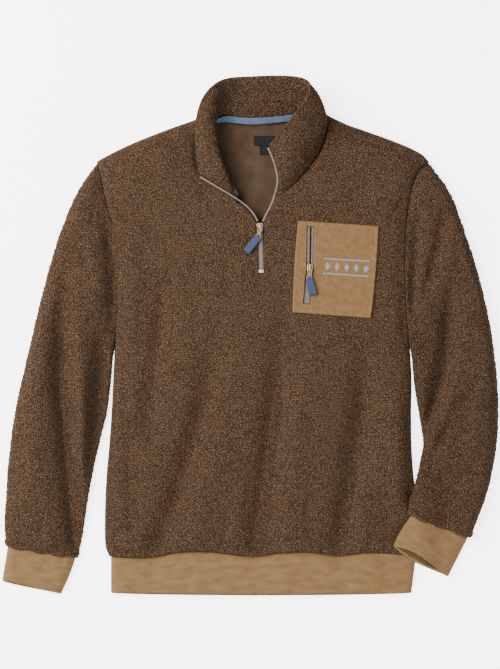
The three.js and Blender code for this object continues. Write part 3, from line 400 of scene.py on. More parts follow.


# Brown from painted shade between the nubs to a painted highlight on their tips
PILE_LIGHT_AND_SHADE_STEPS = [
    (0.0, (0.017, 0.0088, 0.0046)),
    (0.35, (0.038, 0.0206, 0.0107)),
    (0.7, (0.058, 0.0328, 0.0173)),
    (1.0, (0.074, 0.0443, 0.0246)),
]
fleece_finish = sherpa_finish("sherpa fleece", PILE_LIGHT_AND_SHADE_STEPS, 3.4 * MM, 1.3 * MM)


def smooth_side_finish(name, dark, light):
    """The knitted side of the fleece: short brushed fibres with a fine grain and a cloudy tone."""
    finish, shader = new_finish(name, **{"Roughness": 0.95, "Specular IOR Level": 0.15})
    place = object_place(finish)
    fine = noise(finish, place, 1500.0, 2.0)
    mixed = times_plus(finish, fine, 0.4, noise(finish, place, 60.0, 5.0))
    paint(finish, shader, ramped(finish, mixed, 0.4, 1.0), [(0.0, dark), (1.0, light)])
    roughen(finish, shader, fine, 0.35, 0.4 * MM)
    return finish


inside_finish = smooth_side_finish(
    "brushed inside of the fleece", (0.029, 0.0165, 0.008), (0.056, 0.034, 0.0185)
)
SEAM_STEPS = 60
seam_line = curve_through(COLLAR_SEAM, np.linspace(0, 1, SEAM_STEPS + 1))


def seam_place(row):
    """The step of the seam's line that lies at a row of its table."""
    return round(row / (len(COLLAR_SEAM) - 1) * SEAM_STEPS)


# The neck is cut a little outside the collar's seam. A fold whose foot is below SEAM_REACHED runs into
# the seam at the hem or cuff.
NECK_SETBACK = 1.4
SEAM_REACHED = -280
back_seam = seam_line[seam_place(FIRST_BACK_ROW) - 2 : seam_place(LAST_BACK_ROW) + 3]
back_neck = offset_line(back_seam, NECK_SETBACK)
back_neck = np.vstack([back_neck, [back_neck[-1, 0], CLEAR], [back_neck[0, 0], CLEAR]])
# Creases pressed into the underside: top, middle, foot, half width and how far the cloth lifts
UNDERSIDE_CREASES = [
    ((-120, 250), (-95, 90), (-130, -120), 9, 1.5),
    ((60, 290), (40, 60), (64, -180), 10, 1.3),
    ((170, 240), (190, 40), (160, -200), 9, 1.4),
    ((-30, -60), (-48, -190), (-30, -320), 10, 1.6),
    ((110, -90), (124, -210), (104, -325), 9, 1.5),
    ((-170, -20), (-184, -170), (-165, -320), 8, 1.4),
]


def fold_height(folds, x, y):
    """The sum of soft troughs and ridges. Each runs through three points, has a bell-shaped section, and
    fades in from its top and out at its foot, unless its foot reaches the seam at the hem or cuff."""
    height = np.zeros_like(x)
    for top, middle, foot, half, depth in folds:
        upper = y > middle[1]
        t = np.where(upper, (top[1] - y) / (top[1] - middle[1]), (middle[1] - y) / (middle[1] - foot[1]))
        bend = (top[0] - 2 * middle[0] + foot[0]) / 4
        straight = np.where(
            upper, blend_between(top[0], middle[0], t), blend_between(middle[0], foot[0], t)
        )
        centre = straight - bend * t * (1 - t)
        run_in = smooth((top[1] - y) / (0.45 * (top[1] - foot[1])))
        run_out = smooth((y - foot[1]) / 30 + (0.55 if foot[1] < SEAM_REACHED else 0))
        bell = np.exp(-(((x - centre) / half) ** 2))
        height += np.where((y <= top[1]) & (y >= foot[1]), depth * run_in * run_out * bell, 0)
    return height


def back_panel_shell(across, along):
    """Two layers on one plan grid: the underside at 0 with its creases and pressed pile, the inner face
    4 mm above it. Both close in a quarter circle to the middle of the wall at every edge."""
    u, v = unit_grid(across, along)
    x, y = panel_plan(u, v)
    x, y, cut, stays = trim(x, y, back_neck, BODY_WIDTH / across)
    edge = np.minimum(edge_distance(x, y), cut)
    edge[[0, -1]] = 0
    edge[:, [0, -1]] = 0
    closing = rounded(edge, 2.6)
    nubs = 0.3 + 0.3 * tile_value(PILE, x, y)
    under = FLEECE / 2 + (nubs + fold_height(UNDERSIDE_CREASES, x, y) - FLEECE / 2) * closing
    waves = 0.3 * tile_value(LOFT_NOISE, x + 90, y)
    inner = FLEECE / 2 + (FLEECE / 2 - 0.3 + waves) * closing
    layers = two_layers(x, y, inner, under)
    top = quads_of(along, across)
    bottom = top[:, ::-1] + along * across
    kept = stays.ravel()[top].all(1)
    return layers, np.vstack([top[kept], bottom[kept]]), int(kept.sum())


points, faces, inner_count = back_panel_shell(166, 222)
back_panel = piece_from("back_panel_cloth", points, faces, fleece_finish)
back_panel.data.materials.append(inside_finish)
side = np.zeros(len(back_panel.data.polygons), np.int32)
side[:inner_count] = 1
back_panel.data.polygons.foreach_set("material_index", side)
merge_touching(back_panel)
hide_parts("back_panel")
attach(back_panel, "garment")


# Front panel
# The same fleece, pile outwards, slit from the neck for the zip. It is lofted over the back panel, rounds
# down to its seams, and hangs in soft long folds that deepen towards the hem.
# Air between the layers at the armholes, in the middle of the body and at the hem
ARMHOLE_GAP = 4.5
BODY_LOFT = 12.0
HEM_GAP = 6.5
ARMHOLE_FOOT, ARMHOLE_TALL = -4, 262
# The wall at the front's free edges, and the lowest height that it reaches
EDGE_DROP = 3.4
EDGE_FOOT = 4.4
# Folds that the solid has too: top, middle, foot, half width and height
BODY_FOLDS = [
    ((-120, 140), (-137, -10), (-160, -165), 15, -6.5),
    ((-48, 40), (-74, -130), (-143, -330), 18, -8.5),
    ((52, 66), (39, -115), (11, -330), 20, -11),
    ((178, 36), (168, -120), (133, -330), 19, -10),
    ((-178, -110), (-178, -200), (-176, -290), 11, -3.5),
    ((-40, -60), (-58, -200), (-92, -330), 24, 2.5),
    ((75, -20), (66, -180), (58, -330), 26, 2),
    ((202, 20), (205, -120), (188, -330), 22, 2.5),
    ((-172, 190), (-178, 90), (-182, -30), 14, 3),
]
# Smaller creases than the solid holds: short pulls at the armholes, chest, hem and pocket
SMALL_CREASES = [
    ((244, 240), (234, 110), (238, -20), 9, -4.0),
    ((-206, 214), (-186, 176), (-160, 148), 5, -1.5),
    ((-196, 150), (-176, 118), (-152, 98), 5, -1.2),
    ((232, 220), (212, 176), (204, 138), 6, -1.6),
    ((222, 120), (213, 70), (206, 20), 6, -1.1),
    ((-104, -210), (-112, -262), (-118, -322), 6, -1.4),
    ((-30, -240), (-36, -286), (-46, -326), 5, -1.3),
    ((84, -232), (90, -280), (92, -324), 6, -1.4),
    ((172, -220), (180, -268), (178, -324), 6, -1.3),
    ((-140, -250), (-134, -290), (-128, -326), 5, -1.2),
    ((34, -252), (38, -288), (40, -326), 5, -1.1),
    ((-72, 180), (-80, 120), (-96, 60), 11, -1.2),
    ((40, 130), (46, 70), (40, 20), 12, -1.3),
    ((-48, 40), (-72, -130), (-140, -330), 27, -3.0),
    ((54, 56), (39, -115), (9, -330), 30, -3.5),
    ((178, 26), (168, -120), (132, -330), 27, -3.0),
    ((220, -50), (224, -170), (218, -268), 13, 5.5),
    ((246, -30), (247, -170), (240, -262), 9, -4.0),
    ((-81, 318), (-80, 272), (-73, 226), 6, -4.0),
]
# The two zip edges in plan, the middle of the slider, and the foot of the closed chain
ZIP_LEFT = [[11.6, 173.3], [6.2, 183.5], [-5.8, 196.8], [-20, 205.6]]
ZIP_RIGHT = [[19.4, 173.3], [23.4, 182.5], [31.8, 198.5], [39.6, 212.5]]
ZIP_SLIDER = np.array([15.3, 165.0])
ZIP_FOOT = np.array([16.9, 96.5])
CHAIN_WIDTH = 7.0
ZIP_EDGE = 3.2


def front_top(x, y):
    """Height of the front panel: two walls and the air between them. The air is least along the armholes,
    shoulders and hem, is pressed out below the right cuff, and takes the folds."""
    side = np.minimum(x - left_edge(y), right_edge(y) - x)
    shoulder = (shoulder_y(x) - y) * SHOULDER_SLOPE
    up_armhole = np.clip((y - ARMHOLE_FOOT) / ARMHOLE_TALL, 0, 1)
    armhole = ARMHOLE_GAP * np.sin(np.pi * up_armhole) ** 0.6
    inward = rounded(side, 36)
    body = blend_between(armhole, BODY_LOFT, inward)
    under_collar = 1 - 0.3 * np.exp(-(((x + 62) / 55) ** 2) - ((y - 265) / 60) ** 2)
    under_cuff = 1 - 0.97 * np.exp(-(((x - 250) / 74) ** 4) - ((y + 292) / 76) ** 4)
    folds = fold_height(BODY_FOLDS, x, y) * inward * under_cuff
    lofted = body * under_collar * under_cuff + folds
    gap = blend_between(HEM_GAP * inward * under_cuff, lofted, rounded(y - hem_y(x), 26))
    return 2 * FLEECE + SEAM + np.maximum(gap, 0) * rounded(shoulder, 42)


def front_neck_outline(gap):
    """The neck and zip opening: the collar's seam moved out on both sides, the two zip edges, and the slot
    of the closed zip, as one closed line in plan."""
    beside_left = COLLAR_WALL / 2 + 2.2 - gap
    beside_right = COLLAR_WALL / 2 + 2.0 - gap
    left_neck = offset_line(seam_line[: seam_place(FIRST_BACK_ROW) + 2], beside_left)[1:]
    right_neck = offset_line(seam_line[seam_place(LAST_BACK_ROW) - 1 :], beside_right)[:-1]
    left_zip = offset_line(ZIP_LEFT, ZIP_EDGE / 2 + 0.4)[1:]
    right_zip = offset_line(ZIP_RIGHT, -(ZIP_EDGE / 2 + 0.4))[1:][::-1]
    slot = CHAIN_WIDTH / 2 + SEAM
    (sx, sy), (fx, fy) = ZIP_SLIDER, ZIP_FOOT
    parts = [
        [[fx - slot, fy], [sx - slot + 0.2, sy - 9], [sx - 5, sy - 8], [sx - 5, sy + 7]],
        left_zip,
        left_neck,
        [[left_neck[-1, 0] - 8, CLEAR], [right_neck[0, 0] + 8, CLEAR]],
        right_neck,
        right_zip,
        [[sx + 5, sy + 7], [sx + 5, sy - 8], [sx + slot + 0.2, sy - 9], [fx + slot, fy]],
    ]
    return np.vstack([np.asarray(part, float) for part in parts])


def turn_edge_down(piece, drop, lowest):
    """Gives an open surface the thickness of its cloth: a wall down from every free edge."""
    shell = bmesh.new()
    shell.from_mesh(piece.data)
    rim = [edge for edge in shell.edges if edge.is_boundary]
    walls = bmesh.ops.extrude_edge_only(shell, edges=rim)["geom"]
    for vertex in walls:
        if isinstance(vertex, bmesh.types.BMVert):
            vertex.co.z = max(vertex.co.z - drop * MM, lowest * MM)
    shell.to_mesh(piece.data)
    shell.free()


def front_panel_surface(across, along):
    """The patch at the height of the front, with smaller creases, broad unevenness and the relief of the
    pile, which fade out in the quarter circle that turns down at every edge."""
    u, v = unit_grid(across, along)
    x, y = panel_plan(u, v)
    x, y, cut, stays = trim(x, y, front_neck_outline(2.4), BODY_WIDTH / across)
    edge = np.minimum(edge_distance(x, y), cut)
    fade = smooth(edge / 10)
    uneven = fold_height(SMALL_CREASES, x, y) + 0.45 * tile_value(LOFT_NOISE, x, y)
    z = front_top(x, y) + uneven * fade
    z = np.maximum(z, 2 * FLEECE + 0.2) - 1.3 * (1 - rounded(edge, 2.8))
    surface = np.stack([x, y, z], -1)
    relief = 0.5 * tile_value(PILE, x, y) * smooth(edge / 3)
    surface += normals_of(surface) * relief[..., None]
    quads = quads_of(along, across)
    return surface, quads[stays.ravel()[quads].all(1)]


points, faces = front_panel_surface(240, 320)
front_panel = piece_from("front_panel_cloth", points, faces, fleece_finish)
turn_edge_down(front_panel, EDGE_DROP, EDGE_FOOT)
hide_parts("front_panel")
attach(front_panel, "garment")


# Sleeves
# Each is one piece of fleece closed along its underside, set into the armhole. Laid flat, it is a low
# tube with long soft folds. The right one bends at the elbow, and its end lies on the body's corner.
# Each sleeve's outer and inner edge in plan, from the shoulder and the armpit to the cuff
LEFT_OUTER = [[-229.5, 263], [-258, 221], [-285, 157], [-306, 86], [-322, 22], [-336, -38], [-348, -90],
              [-357, -142], [-363, -195], [-366, -245], [-368, -284], [-365, -311]]
LEFT_INNER = [[-202.5, -6], [-206, -30], [-207.6, -56], [-210, -82], [-213.5, -110], [-220, -137],
              [-227, -166], [-234, -197], [-240.5, -232], [-246.5, -268], [-251, -301], [-258.5, -328]]
RIGHT_OUTER = [[268, 263], [299, 220], [327, 145], [347, 78], [360, 18], [368, -38], [372, -90],
               [371.5, -140], [365.5, -189], [355, -234], [342, -270], [330, -299]]
RIGHT_INNER = [[239.5, -6], [243.5, -30], [245, -56], [248, -84], [252, -110], [256, -134],
               [259.3, -160], [254.5, -186], [248.5, -210], [242.5, -231], [237.5, -249], [237.5, -263]]
LEFT_FOLDS = [
    ((-253, 215), (-260, 30), (-250, -230), 13, 4.5),
    ((-268, 150), (-278, -60), (-250, -325), 17, -12.5),
    ((-216, 60), (-219, -80), (-234, -230), 17, -10),
    ((-218, 245), (-202, 120), (-203, -20), 13, -7),
    ((-320, -120), (-332, -210), (-338, -310), 15, 3.5),
]
RIGHT_FOLDS = [
    ((296, 225), (282, 135), (256, 45), 11, -6.5),
    ((250, 235), (243, 120), (246, -10), 12, -4),
    ((306, 125), (294, -20), (262, -150), 13, -9.5),
    ((322, -60), (290, -110), (262, -170), 12, 6),
    ((300, -130), (272, -180), (254, -235), 12, -5),
    ((338, 60), (346, -60), (330, -210), 17, 4),
]
LEFT_SMALL = [
    ((-300, 20), (-318, -40), (-322, -100), 6, -1.6),
    ((-262, -180), (-270, -240), (-268, -306), 6, -1.7),
    ((-338, -230), (-346, -268), (-340, -308), 6, -1.5),
    ((-240, 190), (-232, 140), (-222, 96), 6, -1.5),
    ((-310, -250), (-312, -286), (-306, -318), 5, -1.5),
    ((-274, 130), (-284, -60), (-256, -325), 13, -5.0),
    ((-314, 110), (-322, -80), (-304, -318), 20, 5.5),
    ((-213, 240), (-204, 120), (-205, 20), 10, -3.0),
    ((-240, 225), (-232, 110), (-236, 20), 13, 3.5),
    ((-222, 60), (-224, -80), (-236, -210), 14, -5.5),
    ((-248, 40), (-250, -90), (-250, -220), 13, 4.0),
]
RIGHT_SMALL = [
    ((350, -20), (340, -66), (318, -110), 6, -1.8),
    ((336, -120), (306, -158), (280, -186), 6, -1.8),
    ((348, -170), (316, -210), (290, -240), 6, -1.6),
    ((318, -220), (300, -250), (286, -272), 5, -1.5),
    ((300, 190), (312, 140), (316, 80), 7, -1.6),
    ((252, 236), (246, 120), (244, 30), 10, -5.0),
    ((305, 110), (293, -20), (262, -145), 19, -3.5),
]
SLEEVE_LOFT = 13.0
SLEEVE_LENGTH = 560.0
END_BULGE = 2.4
CUFF_GAP = 7.5
# The right sleeve's end: how high it lies on the body, how wide its ramp down beside the body is, and
# where along the sleeve it climbs, over how long a run
LIFT = 2 * FLEECE + SEAM + 1.4
LIFT_RAMP = 46
LIFT_START, LIFT_RUN = -182, 26


def no_lift(x, y):
    """The left sleeve lies on the surface all along."""
    return np.zeros_like(x)


def lift_over_body(x, y):
    """How far the right sleeve's end lies above the surface: on the body's corner, then a ramp down."""
    past = x - right_edge(np.maximum(y, OUTLINE_Y[1]))
    return LIFT * smooth(1 - past / LIFT_RAMP) * smooth((LIFT_START - y) / LIFT_RUN)


def share_and_edge(a, width, inset):
    """Across a flat tube's wall that is set in by inset: the share of the width at a, which is 0 to 1
    from fold to fold, and the distance to the nearer fold."""
    share = blend_between(inset / width, 1 - inset / width, a)
    return share, np.minimum(a, 1 - a) * (width - 2 * inset)


def sleeve_layer(sleeve, t, a, is_top, inset=0.0):
    """One layer of the flattened tube between the sleeve's outer and inner edge: t from the armhole to the
    cuff, a across. Its height rises in a quarter circle from the folded edge's middle."""
    outer, inner = curve_through(sleeve["outer"], t[:, 0]), curve_through(sleeve["inner"], t[:, 0])
    across = unit(inner - outer)
    to_cuff = (1 - t) * SLEEVE_LENGTH
    bulge = END_BULGE * np.exp(-(((to_cuff - 8) / 9) ** 2)) * smooth(t / 0.2)
    outer, inner = outer - across * bulge, inner + across * bulge * 0.8
    width = np.hypot(*(inner - outer)[:, :2].T)[:, None]
    share, edge = share_and_edge(a, width, inset)
    first, last = np.array(sleeve["outer"][0], float), np.array(sleeve["inner"][0], float)
    seam_y = blend_between(first[1], last[1], share)
    bow = sleeve["seam"](seam_y) - blend_between(first[0], last[0], share)
    x = blend_between(outer[:, :1], inner[:, :1], share) + bow * np.maximum(1 - t / 0.34, 0) ** 2
    y = blend_between(outer[:, 1:2], inner[:, 1:2], share)
    middle = FLEECE + 0.4
    if is_top:
        # the last 9 mm bulge over the cuff's seam, by an uneven amount
        wander = tile_value(LOFT_NOISE, share * width * 1.7, np.full_like(share, 30.0))
        over = (2.6 + 1.2 * wander) * rounded(edge + 3, 9) * smooth(1 - to_cuff / 9) * sleeve["side"]
        x, y = x - across[:, 1:2] * over, y + across[:, :1] * over
        seam_gap = ARMHOLE_GAP * np.sin(np.pi * np.clip(1 - share, 0, 1)) ** 0.6
        gap = blend_between(seam_gap, SLEEVE_LOFT, rounded(t, 0.12))
        gap = blend_between(gap, CUFF_GAP + 1, smooth((t - 0.86) / 0.14))
        ends = rounded(t, 0.12) * smooth((1 - t) / 0.05 + 0.35)
        small = fold_height(sleeve["small"], x, y) * smooth(edge / 14) * smooth(t / 0.05)
        top = 2 * FLEECE + np.maximum(-0.5, gap + fold_height(sleeve["folds"], x, y) * ends) - inset
        top = np.maximum(top + small, 2 * FLEECE - 1.4 - inset)
        away_from_ends = smooth(edge / 14) * smooth(t / 0.04) * smooth((1 - t) / 0.04)
        top += 0.6 * tile_value(LOFT_NOISE, x, y) * away_from_ends
        top -= 1.8 * (1 - rounded(to_cuff, 4))
        roll = blend_between(sleeve["roll"], 30, share)
        z = blend_between(middle, top, rounded(edge, roll))
    else:
        pressed = 0.55 + 0.5 * tile_value(LOFT_NOISE, x + 200, y) * smooth(edge / 12)
        z = blend_between(middle, inset + np.maximum(pressed, 0.0), rounded(edge, 10))
    return np.stack([x, y, z + sleeve["lift"](x, y)], -1)


def crowded_ends(columns, share):
    """Places from 0 to 1, drawn towards both ends by a share of a cosine's spacing."""
    even = np.linspace(0, 1, columns)
    return blend_between(even, 0.5 - 0.5 * np.cos(np.pi * even), share)


def ring_layers(top, bottom):
    """Rings round a flat tube: across its top layer and back across its bottom one."""
    return np.concatenate([top, bottom[:, 1:-1][:, ::-1]], 1)


def lengths_round(rings):
    """At each point of closed rings, the length round its ring from the ring's first point."""
    steps = np.linalg.norm(np.diff(rings, axis=1, append=rings[:, :1]), axis=2)
    return np.cumsum(steps, 1) - steps


def sleeve_tube(sleeve, stations, columns):
    """Rings of a top and a bottom layer. The first and last rings turn in by the wall's thickness, so the
    open ends show the thickness of the cloth. The pile's relief is added outwards."""
    t = np.linspace(0, 1, stations)[:, None]
    a = np.broadcast_to(crowded_ends(columns, 0.5)[None], (stations, columns))
    tube = ring_layers(sleeve_layer(sleeve, t, a, True), sleeve_layer(sleeve, t, a, False))
    around = lengths_round(tube)
    along = np.broadcast_to(np.linspace(0, SLEEVE_LENGTH, stations)[:, None], around.shape)
    wrapped = np.concatenate([tube[:, -1:], tube, tube[:, :1]], 1)
    normal = normals_of(wrapped)[:, 1:-1]
    fade = smooth(t / 0.012) * smooth((1 - t) / 0.012)
    nubs = tile_value(PILE, around + sleeve["shift"], along)
    pressed = np.r_[np.ones(columns), np.full(columns - 2, 0.55)][None]
    relief = (0.8 * nubs * fade * pressed)[..., None]
    out = tube + normal * relief * sleeve["side"]
    out[..., 2] = np.maximum(out[..., 2], 0.0)
    ends = []
    for turned in ([[0.0], [0.02]], [[1.0], [0.975]]):
        inner = [sleeve_layer(sleeve, np.array(turned), a[:2], top, FLEECE - 0.6) for top in (True, False)]
        ends.append(ring_layers(*inner))
    rings = np.concatenate([ends[0][::-1], out, ends[1]])
    return rings, quads_of(len(rings), rings.shape[1], round_columns=True)


def left_armhole(y):
    """Where the left sleeve's end lies across: just inside the front panel's rounded side."""
    return left_edge(y) + 1.6


def right_armhole(y):
    """The same on the right."""
    return right_edge(y) - 1.6


SLEEVES = {
    "left": {
        "outer": LEFT_OUTER, "inner": LEFT_INNER, "folds": LEFT_FOLDS, "small": LEFT_SMALL,
        "seam": left_armhole, "lift": no_lift, "shift": 40.0, "side": -1.0, "roll": 32,
    },
    "right": {
        "outer": RIGHT_OUTER, "inner": RIGHT_INNER, "folds": RIGHT_FOLDS, "small": RIGHT_SMALL,
        "seam": right_armhole, "lift": lift_over_body, "shift": 310.0, "side": 1.0, "roll": 17,
    },
}
for hand, sleeve in SLEEVES.items():
    sleeve["outer"] = np.c_[sleeve["outer"], np.zeros(len(sleeve["outer"]))]
    sleeve["inner"] = np.c_[sleeve["inner"], np.zeros(len(sleeve["inner"]))]
    points, faces = sleeve_tube(sleeve, 270, 76)
    cloth = piece_from(f"sleeve_{hand}_cloth", points, faces, fleece_finish)
    merge_touching(cloth, 1e-6)
    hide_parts(f"sleeve_{hand}")
    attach(cloth, "garment")


# Stand collar
# Two layers of fleece sewn round the top and turned, so that pile shows on both faces. The left half
# rolls outwards, the back stands away from the neck, and the right half falls inwards.
# Its lines above the seam, in the seam's order: the roll, the fall and the top edge
COLLAR_ROLL = [[-29.5, 216.5, 26], [-37.5, 246.5, 29], [-47, 276.5, 31], [-51.5, 300.5, 31],
               [-52.5, 321, 29.5], [-49.5, 338, 24], [-38, 345, 14], [1.5, 343, 9], [53, 346, 10.5],
               [84, 348, 17], [103, 347, 25], [110, 333, 30], [101, 306, 31], [85, 281.5, 30],
               [60.5, 250.5, 27], [44, 235, 23]]
COLLAR_FALL = [[-50, 228.8, 27.5], [-59, 259.5, 32], [-64, 291, 36], [-64.5, 315, 39], [-61, 338.5, 38.5],
               [-52, 357, 34.5], [-37, 365, 22], [3, 366, 15.5], [56, 367.5, 18.5], [84.5, 366, 28],
               [98, 362, 39], [101, 346.5, 43], [88, 320, 43], [71, 297, 39.5], [51, 270, 32.5],
               [39.5, 260, 26]]
COLLAR_EDGE = [[-73, 242.4, 24.5], [-77.5, 268.5, 25], [-79.5, 299, 27], [-78, 326, 31], [-70, 353, 34],
               [-57, 370.5, 35], [-38.5, 382.5, 28], [4.5, 387.5, 21], [58.5, 387.5, 26], [80.5, 382.5, 35],
               [88, 373, 46], [87, 358, 49.5], [71, 335, 48.5], [55.5, 315, 43.5], [37.5, 293, 34],
               [29.5, 284, 27]]
COLLAR_LINES = (COLLAR_SEAM, COLLAR_ROLL, COLLAR_FALL, COLLAR_EDGE)
COLLAR_LENGTH = 430.0
COLLAR_TALL = 78
FOOT_HEIGHT = 1.5


def collar_points(s, h):
    """The collar's middle surface: a curve through its four lines at each place s round the neck."""
    lines = np.stack([curve_through(line, s) for line in COLLAR_LINES])
    return curve_through(lines, h).transpose(1, 0, 2)


def collar_normals(s, h):
    """Unit normals towards the face that touches the neck."""
    step = 0.01
    along = collar_points(np.minimum(s + step, 1), h) - collar_points(np.maximum(s - step, 0), h)
    up = collar_points(s, np.minimum(h + step, 1)) - collar_points(s, np.maximum(h - step, 0))
    return unit(np.cross(along, up))


def collar_shell(stations, rise):
    """A closed ring at each place round the neck: the outer face up, a half circle over the top edge, the
    inner face down, and the foot, which is tucked down over the back panel's edge. The wall thins to nothing
    in the last 3 mm at each front end."""
    s, h = np.linspace(0, 1, stations), np.linspace(0, 1, rise)
    centre, normal = collar_points(s, h), collar_normals(s, h)
    to_end = np.minimum(s, 1 - s) * COLLAR_LENGTH
    closing = rounded(to_end, 3.0)[:, None, None]
    half = COLLAR_WALL / 2 * closing
    around = np.broadcast_to(s[:, None] * COLLAR_LENGTH, (stations, rise))
    up = np.broadcast_to(h[None] * COLLAR_TALL, (stations, rise))
    fade = smooth(to_end / 5)[:, None]
    soft = 0.5 * tile_value(LOFT_NOISE, around, up)
    outer_relief = (0.8 * tile_value(PILE, around, up) * fade + soft * fade)[..., None]
    inner_relief = (0.8 * tile_value(PILE, around + 130, up + 55) * fade + soft * fade)[..., None]
    outer = centre - normal * (half + outer_relief)
    inner = centre + normal * (half + inner_relief)
    tip = unit(centre[:, -1] - centre[:, -2])
    turns = np.array([-0.75, -0.45, -0.15, 0.15, 0.45, 0.75]) * np.pi / 2
    rim = (
        centre[:, -1:]
        + normal[:, -1:] * np.sin(turns)[None, :, None] * half
        + tip[:, None] * np.cos(turns)[None, :, None] * half * 0.9
    )
    rings = np.concatenate([outer, rim, inner[:, ::-1]], 1)
    # the foot is tucked down from one shoulder round the back to the other
    tucked = smooth((s - 0.22) / 0.07) * smooth((0.78 - s) / 0.06)
    for foot in (0, -1):
        rings[:, foot, 2] -= np.maximum(rings[:, foot, 2] - FOOT_HEIGHT, 0) * tucked
    rings[..., 2] = np.maximum(rings[..., 2], 0.0)
    return rings, quads_of(stations, rings.shape[1], round_columns=True)


points, faces = collar_shell(270, 46)
collar = piece_from("collar_cloth", points, faces[:, ::-1], fleece_finish)
merge_touching(collar)
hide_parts("collar")
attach(collar, "garment")


# Hem band and cuffs
# Doubled fine rib knit, sewn on a little stretched, so that it holds the fleece in. The rib runs from the
# seam to the fold at the mouth. The back of each mouth shows past the front of it.
# The doubled wall, the ribs' pitch, the bow of a cuff's inner side, and the rings from seam to mouth
KNIT = 2.4
RIB_PITCH = 2.6
SIDE_BOW = 1.6
KNIT_STATIONS = 26
BAND_ENDS = {"top": (-208.5, 249.0), "bottom": (-208.5, 242.0)}
BAND_BOTTOM = -385.0
BAND_SETBACK = 3.2
CUFFS = {
    "left": {"top": ((-363, -312), (-261, -328.6)), "mouth": ((-371.5, -364), (-283, -383.5)),
             "setback": 3.5, "skew": 0.5, "lift": no_lift, "pitch": 0.0},
    "right": {"top": ((326.5, -300.2), (241.5, -265.3)), "mouth": ((297, -358), (214, -311)),
              "setback": 12.0, "skew": 1.35, "lift": lift_over_body, "pitch": 40.0},
}


def cloth_place(finish):
    """A socket for the place on the flat cloth, in millimetres."""
    return add_node(finish, "ShaderNodeUVMap", uv_map="cloth").outputs["UV"]


def knit_finish(name, dark, light):
    """Rib knit: ridges across the cloth's own first direction with yarn noise on them, and broad faint
    clouds drawn out across the ridges. The tone follows the ribs' height, so the grooves carry painted shade."""
    finish, shader = new_finish(name, **{"Roughness": 0.95, "Specular IOR Level": 0.2})
    flat = cloth_place(finish)
    ribs = add_node(
        finish,
        "ShaderNodeTexWave",
        {"Vector": flat, "Scale": np.pi / (10 * RIB_PITCH), "Distortion": 0.3, "Detail": 1.0},
        bands_direction="X",
    )
    drawn_out = add_node(
        finish, "ShaderNodeVectorMath", {0: flat, 1: (0.045, 0.13, 1.0)}, operation="MULTIPLY"
    )
    yarn = noise(finish, object_place(finish), 1100.0, 2.0)
    height = times_plus(finish, yarn, 0.6, ribs.outputs["Fac"])
    # Painted shade: the ribs' grooves are darker by their height.
    tone = times_plus(finish, height, 0.14, noise(finish, drawn_out.outputs[0], 1.0, 5.0))
    paint(finish, shader, ramped(finish, tone, 0.36, 0.86), [(0.0, dark), (1.0, light)])
    roughen(finish, shader, height, 0.35, 0.4 * MM)
    return finish


band_finish = knit_finish("fine rib knit", (0.098, 0.0555, 0.0215), (0.148, 0.0865, 0.035))
# The same knit in darker colours for each tube's inner wall: painted shade inside the mouth.
knit_painted_shade_finish = knit_finish("rib knit with painted shade inside", (0.035, 0.0195, 0.008), (0.075, 0.044, 0.0185))


def knit_tube(layer, columns):
    """The outer wall from seam to mouth, a turn over the fold, the inner wall back, and a turn at the seam:
    a ring of rings, closed both ways. layer gives a point for t, a, top or bottom, and inset."""
    t = np.linspace(0, 1, KNIT_STATIONS)[:, None]
    a = np.broadcast_to(crowded_ends(columns, 0.6)[None], (KNIT_STATIONS, columns))
    outer = ring_layers(layer(t, a, True, 0.0), layer(t, a, False, 0.0))
    inner = ring_layers(layer(t, a, True, KNIT), layer(t, a, False, KNIT))[::-1]
    away = unit(outer[-1] - outer[-2]) * 0.8
    mouth = (outer[-1] + inner[0]) / 2 + away
    seam = (outer[0] + inner[-1]) / 2 - away
    rings = np.concatenate([outer, mouth[None], inner, seam[None]])
    around = lengths_round(rings)
    lengths = np.linalg.norm(np.diff(rings, axis=0, prepend=rings[:1]), axis=2).mean(1).cumsum()
    flat = np.stack([around, np.broadcast_to(lengths[:, None], around.shape)], -1)
    return rings, quads_of(len(rings), rings.shape[1], True, True), flat


def paint_shade_inside(knit, around):
    """Gives the inner wall of a knit tube, around faces to a ring, a darker copy of the knit: painted shade
    for the hollow inside the tube.
    """
    knit.data.materials.append(knit_painted_shade_finish)
    ring = np.arange(len(knit.data.polygons)) // around
    side = ((ring > KNIT_STATIONS + 1) & (ring < 2 * KNIT_STATIONS)).astype(np.int32)
    knit.data.polygons.foreach_set("material_index", side)


def band_layer(t, a, is_top, inset):
    """The hem band between its two side folds: the air inside follows the body's folds more weakly, and
    the front layer stops a little short of the back one at the mouth."""
    left = blend_between(BAND_ENDS["top"][0], BAND_ENDS["bottom"][0], t)
    right = blend_between(BAND_ENDS["top"][1], BAND_ENDS["bottom"][1], t)
    share, edge = share_and_edge(a, right - left, inset)
    x = blend_between(left, right, share)
    sag = 4 * np.sin(np.pi * share) ** 0.5
    y = blend_between(hem_y(x) + 0.4, BAND_BOTTOM - sag + 3, t)
    middle = KNIT + 0.4
    if is_top:
        y = y + BAND_SETBACK * rounded(np.minimum(share, 1 - share), 0.3) * t
        under_cuff = 1 - 0.55 * np.exp(-(((x - 240) / 55) ** 4))
        folds = fold_height(BODY_FOLDS, x, np.maximum(y, -328) + 2) * 0.35 * (1 - 0.6 * t)
        ripple = 0.35 * tile_value(LOFT_NOISE, x * 1.6, y + 60) * smooth(edge / 14)
        top = 2 * KNIT + (HEM_GAP + folds) * under_cuff - inset + ripple
        z = blend_between(middle, top, rounded(edge, 20))
    else:
        z = blend_between(middle, np.full_like(x, inset), rounded(edge, 20 / 3))
    return np.stack([x, y, z], -1)


points, faces, flat = knit_tube(band_layer, 150)
hem_band = piece_from("hem_band_knit", points, faces, band_finish, flat)
paint_shade_inside(hem_band, points.shape[1])
merge_touching(hem_band, 1e-7)
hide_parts("hem_band")
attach(hem_band, "garment")


